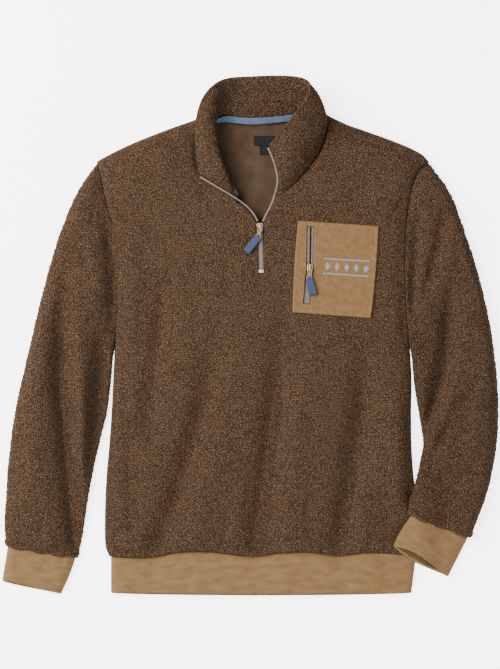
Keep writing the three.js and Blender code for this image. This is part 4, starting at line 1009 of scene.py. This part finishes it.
def cuff_layer(cuff):
    """One cuff between the corners of its seam and of its mouth. The front layer is pulled back from the
    mouth along the sleeve, most in its middle, so that the inside of the back layer shows."""
    (top_out, top_in), (mouth_out, mouth_in) = np.array(cuff["top"]), np.array(cuff["mouth"])
    start, end = (top_out + top_in) / 2, (mouth_out + mouth_in) / 2
    back = unit(start - end)

    def layer(t, a, is_top, inset):
        first = top_out + (mouth_out - top_out) * t[..., None]
        inwards = unit(top_in - top_out) * (4 * SIDE_BOW * t * (1 - t))[..., None]
        last = top_in + (mouth_in - top_in) * t[..., None] + inwards
        share, edge = share_and_edge(a, np.linalg.norm(last - first, axis=-1), inset)
        plan = first + (last - first) * share[..., None]
        bow = np.sin(np.pi * np.clip(share, 0, 1) ** cuff["skew"])
        pull = (0.62 if is_top else -0.4) * cuff["setback"] * bow * t**2
        x, y = plan[..., 0] + back[0] * pull, plan[..., 1] + back[1] * pull
        if is_top:
            crown = 0.75 + 0.25 * np.sin(np.pi * share)
            ripple = 0.35 * tile_value(LOFT_NOISE, x * 2 + cuff["pitch"], y * 2) * smooth(edge / 12)
            top = 2 * KNIT + CUFF_GAP * (1 - 0.12 * t) * crown - inset + ripple
            z = blend_between(KNIT + 0.4, top, rounded(edge, 16))
        else:
            z = blend_between(KNIT + 0.4, np.full_like(x, inset), rounded(edge, 16 / 3))
        return np.stack([x, y, z + cuff["lift"](x, y)], -1)

    return layer


for hand, cuff in CUFFS.items():
    points, faces, flat = knit_tube(cuff_layer(cuff), 44)
    knit = piece_from(f"cuff_{hand}_knit", points, faces, band_finish, flat)
    paint_shade_inside(knit, points.shape[1])
    merge_touching(knit, 1e-7)
    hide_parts(f"cuff_{hand}")
    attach(knit, "garment")


# Neck tape and labels
# A woven tape covers the collar's seam on the inside. The neck label and the size tab below it are bare
# patches of black weave on the back panel's inner face.
def woven_finish(name, dark, light, pitch):
    """Plain weave: two crossed waves of one pitch, for tone and for bump."""
    finish, shader = new_finish(name, **{"Roughness": 0.85, "Specular IOR Level": 0.2})
    flat = cloth_place(finish)
    wave = {"Vector": flat, "Scale": np.pi / (10 * pitch)}
    warp = add_node(finish, "ShaderNodeTexWave", wave, bands_direction="X").outputs["Fac"]
    weft = add_node(finish, "ShaderNodeTexWave", wave, bands_direction="Y").outputs["Fac"]
    crossed = add_node(finish, "ShaderNodeMath", {0: warp, 1: weft}, operation="MULTIPLY").outputs[0]
    tone = times_plus(finish, crossed, 0.35, noise(finish, flat, 0.12, 4.0))
    paint(finish, shader, ramped(finish, tone, 0.3, 0.95), [(0.0, dark), (1.0, light)])
    roughen(finish, shader, crossed, 0.4, 0.25 * MM)
    return finish


tape_finish = woven_finish("blue neck tape", (0.036, 0.054, 0.098), (0.078, 0.106, 0.166), 1.0)
label_finish = woven_finish("black label", (0.002, 0.0025, 0.003), (0.008, 0.009, 0.011), 0.8)
# Where the left shoulder's tight corner is round the neck, and the tape's thickness and share of the collar
NECK_CORNER = 0.365
TAPE_CLOTH = 0.8
TAPE_REACH = 1 / 7
TAPE_WIDE = 10


def neck_tape_strip(stations, rise):
    """A thin strip on the collar's inner face from its seam upwards, closed round its edges: it stands off
    a little in the tight corner of the left shoulder."""
    s = np.linspace(0.004, 0.996, stations)
    h = np.array([0.0, TAPE_REACH])
    corner = 1.8 * np.exp(-(((s - NECK_CORNER) / 0.05) ** 2))[:, None, None]
    centre, normal = collar_points(s, h), collar_normals(s, h)
    share = np.linspace(-0.06, 0.93, rise)[None, :, None]
    faces = []
    for out in (SEAM + 0.45 + TAPE_CLOTH, SEAM + 0.3):
        ends = centre + normal * (COLLAR_WALL / 2 + out + corner)
        faces.append(ends[:, :1] + (ends[:, 1:] - ends[:, :1]) * share)
    ring = np.concatenate([faces[0], faces[1][:, ::-1]], 1)
    along = np.broadcast_to((s * COLLAR_LENGTH)[:, None], ring.shape[:2])
    out_and_back = np.r_[np.linspace(0, TAPE_WIDE, rise), np.linspace(TAPE_WIDE, 0, rise)]
    across = np.broadcast_to(out_and_back[None], ring.shape[:2])
    return ring, quads_of(stations, ring.shape[1], round_columns=True), np.stack([along, across], -1)


points, faces, flat = neck_tape_strip(220, 7)
neck_tape = piece_from("neck_tape_weave", points, faces, tape_finish, flat)
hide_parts("neck_tape")
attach(neck_tape, "garment")


def label_patch(name, node, left, right, bottom, top, cloth):
    """A flat patch with rounded edges and a slight curl, on the back panel's inner face."""
    across, along = 40, 24
    u, v = unit_grid(across, along)
    x, y = blend_between(left, right, u), blend_between(bottom, top, v)
    edge = np.minimum(np.minimum(x - left, right - x), np.minimum(y - bottom, top - y))
    lowest = FLEECE + SEAM
    curl = 0.5 * (2 * u - 1) ** 4
    upper = lowest + cloth / 2 + cloth / 2 * rounded(edge, 0.8) + curl
    under = lowest + cloth / 2 - cloth / 2 * rounded(edge, 0.8) + curl
    layers = two_layers(x, y, upper, under)
    top_faces = quads_of(along, across)
    faces = np.vstack([top_faces, top_faces[:, ::-1] + along * across])
    patch = piece_from(name, layers, faces, label_finish, layers[..., :2])
    merge_touching(patch, 1e-6)
    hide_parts(node)
    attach(patch, "garment")


label_patch("neck_label_weave", "neck_label", 6, 37, 287.5, 302, 0.8)
label_patch("size_tab_weave", "size_tab", 14.5, 27, 273.5, 287.2, 0.6)


# Chest pocket
# A patch of plain woven cloth with its edges folded under and sewn down all round. The zip's slot is cut
# through it on the left, and five plain diamonds between two lines are embroidered beside the slot.
# Its corners in plan, its size, and the slot's line past the slider, from top to foot
POCKET_CORNERS = np.array([[[63.3, 37.2], [180.8, 28.6]], [[71.7, 174.7], [192.3, 166.5]]])
POCKET_WIDE, POCKET_TALL = 119, 138
POCKET_REACH = 125
POCKET_CLOTH = 1.6
POCKET_BOW = 1.5
POCKET_TOP = np.array([90.8, 165.4])
POCKET_SLIDER = np.array([89.7, 103.4])
POCKET_FOOT = np.array([84.8, 50.0])
SLOT_WIDTH = 10.4
MOUTH_GAP = 2.8
pocket_finish = woven_finish("tan pocket cloth", (0.1, 0.052, 0.0195), (0.156, 0.086, 0.0335), 0.7)


def pocket_plan(u, v):
    """A patch between the pocket's four corners, its two sides bowed out a little."""
    low = POCKET_CORNERS[0, 0] + (POCKET_CORNERS[0, 1] - POCKET_CORNERS[0, 0]) * u[..., None]
    high = POCKET_CORNERS[1, 0] + (POCKET_CORNERS[1, 1] - POCKET_CORNERS[1, 0]) * u[..., None]
    plan = low + (high - low) * v[..., None]
    return plan[..., 0] + POCKET_BOW * (2 * u - 1) * 4 * v * (1 - v), plan[..., 1]


def pocket_shell(across, along):
    """Two layers above the front panel that close to the middle of the cloth at every edge. Inside the
    sewn edge the cloth sits a little lower, and it puckers slightly along the stitches."""
    u, v = unit_grid(across, along)
    x, y = pocket_plan(u, v)
    line = np.array([POCKET_TOP, POCKET_SLIDER, POCKET_FOOT])
    slot = np.vstack([offset_line(line, SLOT_WIDTH / 2), offset_line(line, -SLOT_WIDTH / 2)[::-1]])
    x, y, cut, stays = trim(x, y, slot, POCKET_REACH / across)
    border = np.minimum(np.minimum(u, 1 - u) * POCKET_WIDE, np.minimum(v, 1 - v) * POCKET_TALL)
    edge = np.minimum(border, cut)
    closing = rounded(edge, 0.9)
    pucker = 0.3 * np.sin((x + y) / 2.1) * np.exp(-(((border - 4.5) / 3.0) ** 2))
    sewn = -0.45 * smooth((border - 3.4) / 2.5) - 0.2 * np.exp(-(((border - 4.2) / 0.7) ** 2))
    base = front_top(x, y) + SEAM + 0.45
    middle = base + POCKET_CLOTH / 2
    upper = middle + (POCKET_CLOTH / 2 + sewn + pucker + 0.25 * tile_value(LOFT_NOISE, x, y)) * closing
    under = middle - POCKET_CLOTH / 2 * closing
    layers = two_layers(x, y, upper, under)
    flat = np.stack([np.stack([u * POCKET_WIDE, v * POCKET_TALL], -1)] * 2)
    top = quads_of(along, across)
    top = top[stays.ravel()[top].all(1)]
    return layers, np.vstack([top, top[:, ::-1] + along * across]), flat


points, faces, flat = pocket_shell(92, 104)
pocket = piece_from("chest_pocket_cloth", points, faces, pocket_finish, flat)
merge_touching(pocket, 1e-6)
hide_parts("chest_pocket")
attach(pocket, "garment")


def threads(name, starts, ends, finish, raised, radius=0.28):
    """Short threads between two places in plan: each is a thin six-sided bar that dips at both ends,
    made by arrays for all of them at once."""
    count = len(starts)
    share = np.array([0.0, 0.25, 0.75, 1.0])
    x = starts[:, :1] + (ends[:, :1] - starts[:, :1]) * share
    y = starts[:, 1:] + (ends[:, 1:] - starts[:, 1:]) * share
    run = unit(np.stack([x[:, -1] - x[:, 0], y[:, -1] - y[:, 0]], -1))
    height = raised(x, y) + np.array([-0.25, 0.12, 0.12, -0.25])
    turn = np.arange(6) * np.pi / 3
    thick = radius * np.array([0.6, 1, 1, 0.6])[None, :, None]
    sideways = np.cos(turn)[None, None] * thick
    rings = np.stack(
        [
            x[..., None] - run[:, None, 1:2] * sideways,
            y[..., None] + run[:, None, 0:1] * sideways,
            height[..., None] + np.sin(turn)[None, None] * thick,
        ],
        -1,
    )
    one = quads_of(4, 6, round_columns=True)
    caps = np.array([[0, 1, 2, 3], [0, 3, 4, 5], [18, 21, 20, 19], [18, 23, 22, 21]])
    one = np.vstack([one, caps])
    corners = rings.shape[1] * rings.shape[2]
    faces = (one[None] + (np.arange(count) * corners)[:, None, None]).reshape(-1, 4)
    row = piece_from(name, rings.reshape(-1, 3), faces, finish)
    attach(row, "garment")
    return row


def lengths_along(path):
    """At each point of a line, the length along it from its start."""
    return np.r_[0, np.cumsum(np.linalg.norm(np.diff(path, axis=0), axis=1))]


def stitch_row(name, path, pitch, finish, raised, radius=0.28):
    """Threads laid end to end along a line in plan, each a little shorter than its share of the line."""
    lengths = lengths_along(path)
    middles = (np.arange(int(lengths[-1] / pitch)) + 0.5) * pitch

    def place(at):
        """The point of the line at a length along it."""
        return np.stack([np.interp(at, lengths, path[:, 0]), np.interp(at, lengths, path[:, 1])], -1)

    reach = 0.42 * pitch
    return threads(name, place(middles - reach), place(middles + reach), finish, raised, radius)


thread_finish, _ = new_finish(
    "tan sewing thread", **{"Base Color": (0.215, 0.125, 0.055, 1), "Roughness": 0.75}
)
grey_thread_finish, _ = new_finish(
    "grey blue embroidery thread", **{"Base Color": (0.2, 0.2, 0.255, 1), "Roughness": 0.6}
)


def pocket_top_height(x, y):
    """Where threads lie: a little into the pocket's upper face."""
    return front_top(x, y) + SEAM + 0.45 + POCKET_CLOTH - 0.35


# The sewn edge as shares of the pocket's width and height, and the line round the slot
stitched = np.array([[0.035, 0.03], [0.965, 0.03], [0.965, 0.97], [0.035, 0.97], [0.035, 0.03]])
around = np.vstack([np.linspace(start, end, 60) for start, end in zip(stitched[:-1], stitched[1:])])
edge_path = np.stack(pocket_plan(around[:, 0], around[:, 1]), 1)
edge_stitches = stitch_row("pocket_edge_stitches", edge_path, 2.6, thread_finish, pocket_top_height)
slot_line = [POCKET_TOP + [0, 2.4], POCKET_SLIDER, POCKET_FOOT - [0, 2.4]]
beside = SLOT_WIDTH / 2 + 2
slot_ring = np.vstack([offset_line(slot_line, beside), offset_line(slot_line, -beside)[::-1]])
slot_ring = np.vstack([slot_ring, slot_ring[:1]])
slot_stitches = stitch_row("pocket_slot_stitches", slot_ring, 2.4, thread_finish, pocket_top_height, 0.24)


def on_pocket(across, up):
    """A place in plan from millimetres across and up the pocket."""
    return np.stack(pocket_plan(across / POCKET_WIDE, up / POCKET_TALL), -1)


# Half a diamond's width and height, the threads' pitch, the middles of the first and last diamond, how high
# they stand, and the feet and thickness of the two lines, all across and up the pocket
DIAMOND = (4.6, 6.2)
THREAD_PITCH = 0.75
FIRST_DIAMOND, LAST_DIAMOND, DIAMONDS_UP = 48, 104, 73
LINE_FEET, LINE_THICK = (61.0, 83.0), 2.2
rows = np.arange(-DIAMOND[1], DIAMOND[1], THREAD_PITCH)
reach = np.tile(DIAMOND[0] * (1 - np.abs(rows) / DIAMOND[1]) + 0.3, 5)
heights = np.tile(rows, 5) + DIAMONDS_UP
diamond_at = np.repeat(np.linspace(FIRST_DIAMOND, LAST_DIAMOND, 5), len(rows))
line_at = np.arange(FIRST_DIAMOND - 5, LAST_DIAMOND + 5, THREAD_PITCH)
starts, ends = [on_pocket(diamond_at - reach, heights)], [on_pocket(diamond_at + reach, heights)]
for foot in LINE_FEET:
    starts.append(on_pocket(line_at, np.full_like(line_at, foot)))
    ends.append(on_pocket(line_at, np.full_like(line_at, foot + LINE_THICK)))
starts, ends = np.vstack(starts), np.vstack(ends)
motif = threads("pocket_motif_threads", starts, ends, grey_thread_finish, pocket_top_height, 0.34)


# Zips
# Moulded teeth on woven tape. The closed chains and the pocket's edges keep their CAD strips as tapes, and
# the front's two open edges get softer ones. The teeth mesh in the chains and stand in a row on each edge.
def zip_tape_finish(name, dark, light):
    """Zip tape or moulded teeth: a fine grain that varies the tone a little and roughens the surface."""
    finish, shader = new_finish(name, **{"Roughness": 0.75, "Specular IOR Level": 0.25})
    grain = noise(finish, object_place(finish), 1400.0, 2.0)
    paint(finish, shader, grain, [(0.25, dark), (0.75, light)])
    roughen(finish, shader, grain, 0.4, 0.3 * MM)
    return finish


zip_finish = zip_tape_finish("grey zip tape", (0.05, 0.039, 0.032), (0.1, 0.081, 0.068))
teeth_finish = zip_tape_finish("grey beige zip teeth", (0.14, 0.112, 0.092), (0.25, 0.204, 0.168))
for name in ("zip_chain", "pocket_zip_left", "pocket_zip_right", "pocket_zip_chain"):
    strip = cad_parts[name].data
    strip.materials.clear()
    strip.materials.append(zip_finish)


def teeth_along(name, centres, sideways, upwards, size, finish):
    """A row of teeth: each is a block with a narrower top, set at a point with its own sideways and upward
    directions. size is the length along the zip, the width and the height."""
    ahead = np.cross(sideways, upwards)
    corners = np.array([[-1, -1, 0], [1, -1, 0], [1, 1, 0], [-1, 1, 0], [-0.7, -0.8, 1], [0.7, -0.8, 1],
                        [0.7, 0.8, 1], [-0.7, 0.8, 1]]) * (np.array(size) / [2, 2, 1])
    points = (
        centres[:, None]
        + ahead[:, None] * corners[None, :, :1]
        + sideways[:, None] * corners[None, :, 1:2]
        + upwards[:, None] * corners[None, :, 2:]
    )
    one = np.array([[3, 2, 1, 0], [4, 5, 6, 7], [0, 1, 5, 4], [1, 2, 6, 5], [2, 3, 7, 6], [3, 0, 4, 7]])
    faces = (one[None] + (np.arange(len(centres)) * len(corners))[:, None, None]).reshape(-1, 4)
    row = piece_from(name, points.reshape(-1, 3), faces, finish)
    row.data.polygons.foreach_set("use_smooth", np.zeros(len(row.data.polygons), bool))
    merge_touching(row, 1e-7)
    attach(row, "garment")


def even_places(points, pitch):
    """Places and directions at even steps along a line of points: each direction is the way between the
    points a little before and after its place."""
    lengths = lengths_along(points)
    at = np.arange(pitch / 2, lengths[-1] - pitch / 2, pitch)
    behind, centres, ahead = (
        np.stack([np.interp(at + step, lengths, points[:, k]) for k in range(3)], 1)
        for step in (-0.3, 0, 0.3)
    )
    return centres, unit(ahead - behind)


def open_zip_line(panel_points, at_end):
    """The middle line of an open zip edge, first beside the front panel and then beside the collar's front
    end, and the direction across it in the cloth."""
    away = ZIP_EDGE / 2 + 5 * SEAM
    hand = 1.0 if at_end else -1.0
    plan = np.array(panel_points[:-1], float)
    path = np.c_[plan, front_top(plan[:, 0], plan[:, 1]) - 1.6]
    sides = unit(np.cross(line_run(path), [0, 0, 1]))
    h = np.array([0.28, 0.5, 0.75, 1.0])
    s = np.array([float(at_end)])
    up = collar_points(s, np.minimum(h + 0.02, 1))[0] - collar_points(s, np.maximum(h - 0.02, 0))[0]
    outwards = unit(np.cross(up, collar_normals(s, h)[0])) * hand
    path = np.vstack([path, collar_points(s, h)[0] + outwards * away])
    sides = np.vstack([sides, outwards * hand])
    t = np.linspace(0, 1, 200)
    return curve_through(path, t), curve_through(sides, t)


def zip_edge_tape(name, line, sideways, upwards):
    """A strip with rounded edges along a line, closed at both ends: twelve points round each section."""
    turn = np.arange(12) * np.pi / 6
    wide = ZIP_EDGE / 2 * np.sign(np.cos(turn)) * np.abs(np.cos(turn)) ** 0.5
    thick = 0.7 * np.sign(np.sin(turn)) * np.abs(np.sin(turn)) ** 0.5
    across, up = wide[None, :, None], thick[None, :, None]
    rings = line[:, None] + sideways[:, None] * across + upwards[:, None] * up
    ends = np.array([[0, 1, 2, 3], [0, 3, 4, 11], [11, 4, 5, 10], [10, 5, 6, 9], [9, 6, 7, 8]])
    sides = quads_of(len(line), len(turn), round_columns=True)
    faces = np.vstack([sides, ends[:, ::-1], ends + (len(line) - 1) * len(turn)])
    tape = piece_from(name, rings, faces, zip_finish)
    merge_touching(tape, 1e-7)
    return tape


def facing_up(vectors):
    """Unit vectors, turned over where they point down."""
    return unit(vectors) * np.where(vectors[:, 2:] < 0, -1.0, 1.0)


TEETH_PITCH = 1.7
for hand, points_in_plan, at_end in (("left", ZIP_LEFT, 0), ("right", ZIP_RIGHT, 1)):
    line, across = open_zip_line(points_in_plan, at_end)
    across = unit(across)
    above = facing_up(np.cross(np.gradient(line, axis=0), across))
    tape = zip_edge_tape(f"zip_edge_{hand}_tape", line, across, above)
    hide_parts(f"zip_edge_{hand}")
    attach(tape, "garment")
    centres, run = even_places(line, TEETH_PITCH)
    nearest = np.linalg.norm(line[None] - centres[:, None], axis=2).argmin(1)
    upwards = facing_up(np.cross(run, across[nearest]))
    sideways = np.cross(upwards, run)
    teeth_along(
        f"zip_teeth_{hand}", centres + upwards * 0.7, sideways, upwards, (1.05, 2.1, 0.95), teeth_finish
    )


def chain_teeth(name, start, end, height, spread):
    """Two rows of teeth that mesh: even places along a straight line, moved left and right by turns."""
    line = np.linspace(start, end, 60)
    line = np.c_[line, height(line[:, 0], line[:, 1])]
    centres, run = even_places(line, 1.25)
    upwards = unit(np.cross(np.cross(run, [0.0, 0.0, 1.0]), run))
    sideways = np.cross(upwards, run)
    turns = np.where(np.arange(len(centres)) % 2 == 0, 1.0, -1.0)[:, None]
    teeth_along(name, centres + sideways * turns * spread, sideways, upwards, (1.0, 2.4, 0.6), teeth_finish)


def zip_chain_height(x, y):
    """The foot of the front zip's teeth."""
    return front_top(x, y) - 0.75


def pocket_chain_height(x, y):
    """The foot of the pocket zip's teeth."""
    return front_top(x, y) + SEAM + 1.15


# Each chain starts where its slider ends. The front one stops at the metal stop.
HALF_SLIDER = 7
STOP_REACH = 5.4
along = unit(ZIP_FOOT - ZIP_SLIDER)
start, end = ZIP_SLIDER + along * HALF_SLIDER, ZIP_FOOT - along * STOP_REACH
chain_teeth("zip_chain_teeth", start, end, zip_chain_height, 0.55)
along = unit(POCKET_FOOT - POCKET_SLIDER)
start, end = POCKET_SLIDER + along * HALF_SLIDER, POCKET_FOOT - along
chain_teeth("pocket_chain_teeth", start, end, pocket_chain_height, 0.55)
for hand, way in (("left", -1.0), ("right", 1.0)):
    aside = way * (MOUTH_GAP / 2 + 0.9)
    line = offset_line([POCKET_TOP - [0, 1], POCKET_SLIDER + [0, HALF_SLIDER]], aside)
    line = np.linspace(line[0], line[1], 60)
    line = np.c_[line, pocket_chain_height(line[:, 0], line[:, 1])]
    centres, run = even_places(line, TEETH_PITCH)
    upwards = np.broadcast_to([0.0, 0.0, 1.0], centres.shape)
    sideways = np.cross(upwards, run)
    teeth_along(f"pocket_teeth_{hand}", centres, sideways, upwards, (1.05, 1.7, 0.7), teeth_finish)


# Sliders, pulls, stop and tabs
# Pale gold castings with a soft polish, a pressed metal stop, and blue moulded tabs with a dull skin. Each
# is a copy of its CAD solid with the sharp edges rounded.
def cast_finish(name, colour, roughness):
    """Polished metal with faint uneven polish and tiny casting marks."""
    finish, shader = new_finish(name, **{"Base Color": (*colour, 1), "Metallic": 0.9, "Roughness": roughness})
    marks = noise(finish, object_place(finish), 900.0, 3.0)
    polish = add_node(
        finish,
        "ShaderNodeMapRange",
        {"Value": marks, "To Min": roughness - 0.08, "To Max": roughness + 0.14},
    )
    finish.node_tree.links.new(polish.outputs["Result"], shader.inputs["Roughness"])
    roughen(finish, shader, marks, 0.15, 0.2 * MM)
    return finish


gold_finish = cast_finish("pale gold casting", (0.6, 0.43, 0.235), 0.26)
stop_finish = cast_finish("pressed metal stop", (0.8, 0.77, 0.72), 0.35)


def softened(node_name, body, finish, edge):
    """A copy of a CAD solid whose sharp edges are rounded by a bevel of a given width in millimetres."""
    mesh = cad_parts[node_name].data.copy()
    copy = bpy.data.objects.new(node_name + "_finished", mesh)
    bpy.context.scene.collection.objects.link(copy)
    mesh.materials.clear()
    mesh.materials.append(finish)
    shell = bmesh.new()
    shell.from_mesh(mesh)
    bmesh.ops.remove_doubles(shell, verts=shell.verts, dist=2e-6)
    flat_edges = [e for e in shell.edges if e.is_manifold and e.calc_face_angle() < 0.02]
    bmesh.ops.dissolve_edges(shell, edges=flat_edges, use_verts=True)
    sharp = [e for e in shell.edges if e.is_manifold and e.calc_face_angle() > 0.5]
    bmesh.ops.bevel(
        shell, geom=sharp, offset=edge * MM, segments=2, profile=0.5, affect="EDGES", clamp_overlap=True
    )
    for face in shell.faces:
        face.smooth = False
    shell.to_mesh(mesh)
    shell.free()
    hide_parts(node_name)
    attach(copy, body)


for node_name, body in (
    ("zip_slider", "garment"),
    ("pocket_slider", "garment"),
    ("zip_pull", "zip_pull"),
    ("pocket_pull", "pocket_pull"),
):
    softened(node_name, body, gold_finish, 0.22)
softened("zip_stop", "garment", stop_finish, 0.3)
tab_finish, tab_shader = new_finish("blue moulded tab", **{"Roughness": 0.55})
tab_grain = noise(tab_finish, object_place(tab_finish), 700.0, 3.0)
paint(tab_finish, tab_shader, tab_grain, [(0.3, (0.005, 0.0145, 0.043)), (0.7, (0.01, 0.027, 0.069))])
roughen(tab_finish, tab_shader, tab_grain, 0.3, 0.3 * MM)
for node_name in ("zip_tab", "pocket_tab"):
    softened(node_name, node_name, tab_finish, 0.5)


# Floor, light and camera
# A pale floor under the garment, soft light from the upper left, and a long lens straight above, with the
# photograph's frame of 500 by 669 at 1.5 mm to each of its pixels.
bpy.ops.mesh.primitive_plane_add(size=6, location=(0, 0, -0.5 * MM))
floor = bpy.context.object
floor.name = "floor"
floor_finish, _ = new_finish(
    "pale floor",
    **{
        "Base Color": (0.93, 0.93, 0.93, 1),
        "Roughness": 0.9,
        "Emission Color": (1, 1, 1, 1),
        "Emission Strength": 3.4,
    },
)
floor.data.materials.append(floor_finish)


def soft_lamp(name, place, size, power):
    """A square area lamp that faces the middle of the floor."""
    lamp = bpy.data.lights.new(name, "AREA")
    lamp.shape = "SQUARE"
    lamp.size = size
    lamp.energy = power
    holder = bpy.data.objects.new(name, lamp)
    holder.location = place
    x, y, z = place
    holder.rotation_euler = (np.arctan2(np.hypot(x, y), z), 0, np.arctan2(-y, -x) - np.pi / 2)
    bpy.context.scene.collection.objects.link(holder)


soft_lamp("key lamp", (-1.9, 0.95, 1.8), 2.2, 325)
soft_lamp("fill lamp", (1.1, -1.9, 1.4), 1.8, 92)
world = bpy.data.worlds.new("studio")
world.use_nodes = True
sky = world.node_tree.nodes["Background"]
sky.inputs["Color"].default_value = (1, 1, 1, 1)
sky.inputs["Strength"].default_value = 0.34
bpy.context.scene.world = world

CAMERA_HEIGHT = 4.0
SENSOR = 24.0
FRAME_TALL = 669 * 1.5 * MM
camera = bpy.data.cameras.new("camera")
camera.sensor_fit = "VERTICAL"
camera.sensor_height = SENSOR
camera.lens = SENSOR * CAMERA_HEIGHT / FRAME_TALL
camera.clip_end = 20.0
camera_holder = bpy.data.objects.new("camera", camera)
camera_holder.location = (0, 0.0045, CAMERA_HEIGHT)
bpy.context.scene.collection.objects.link(camera_holder)
bpy.context.scene.camera = camera_holder
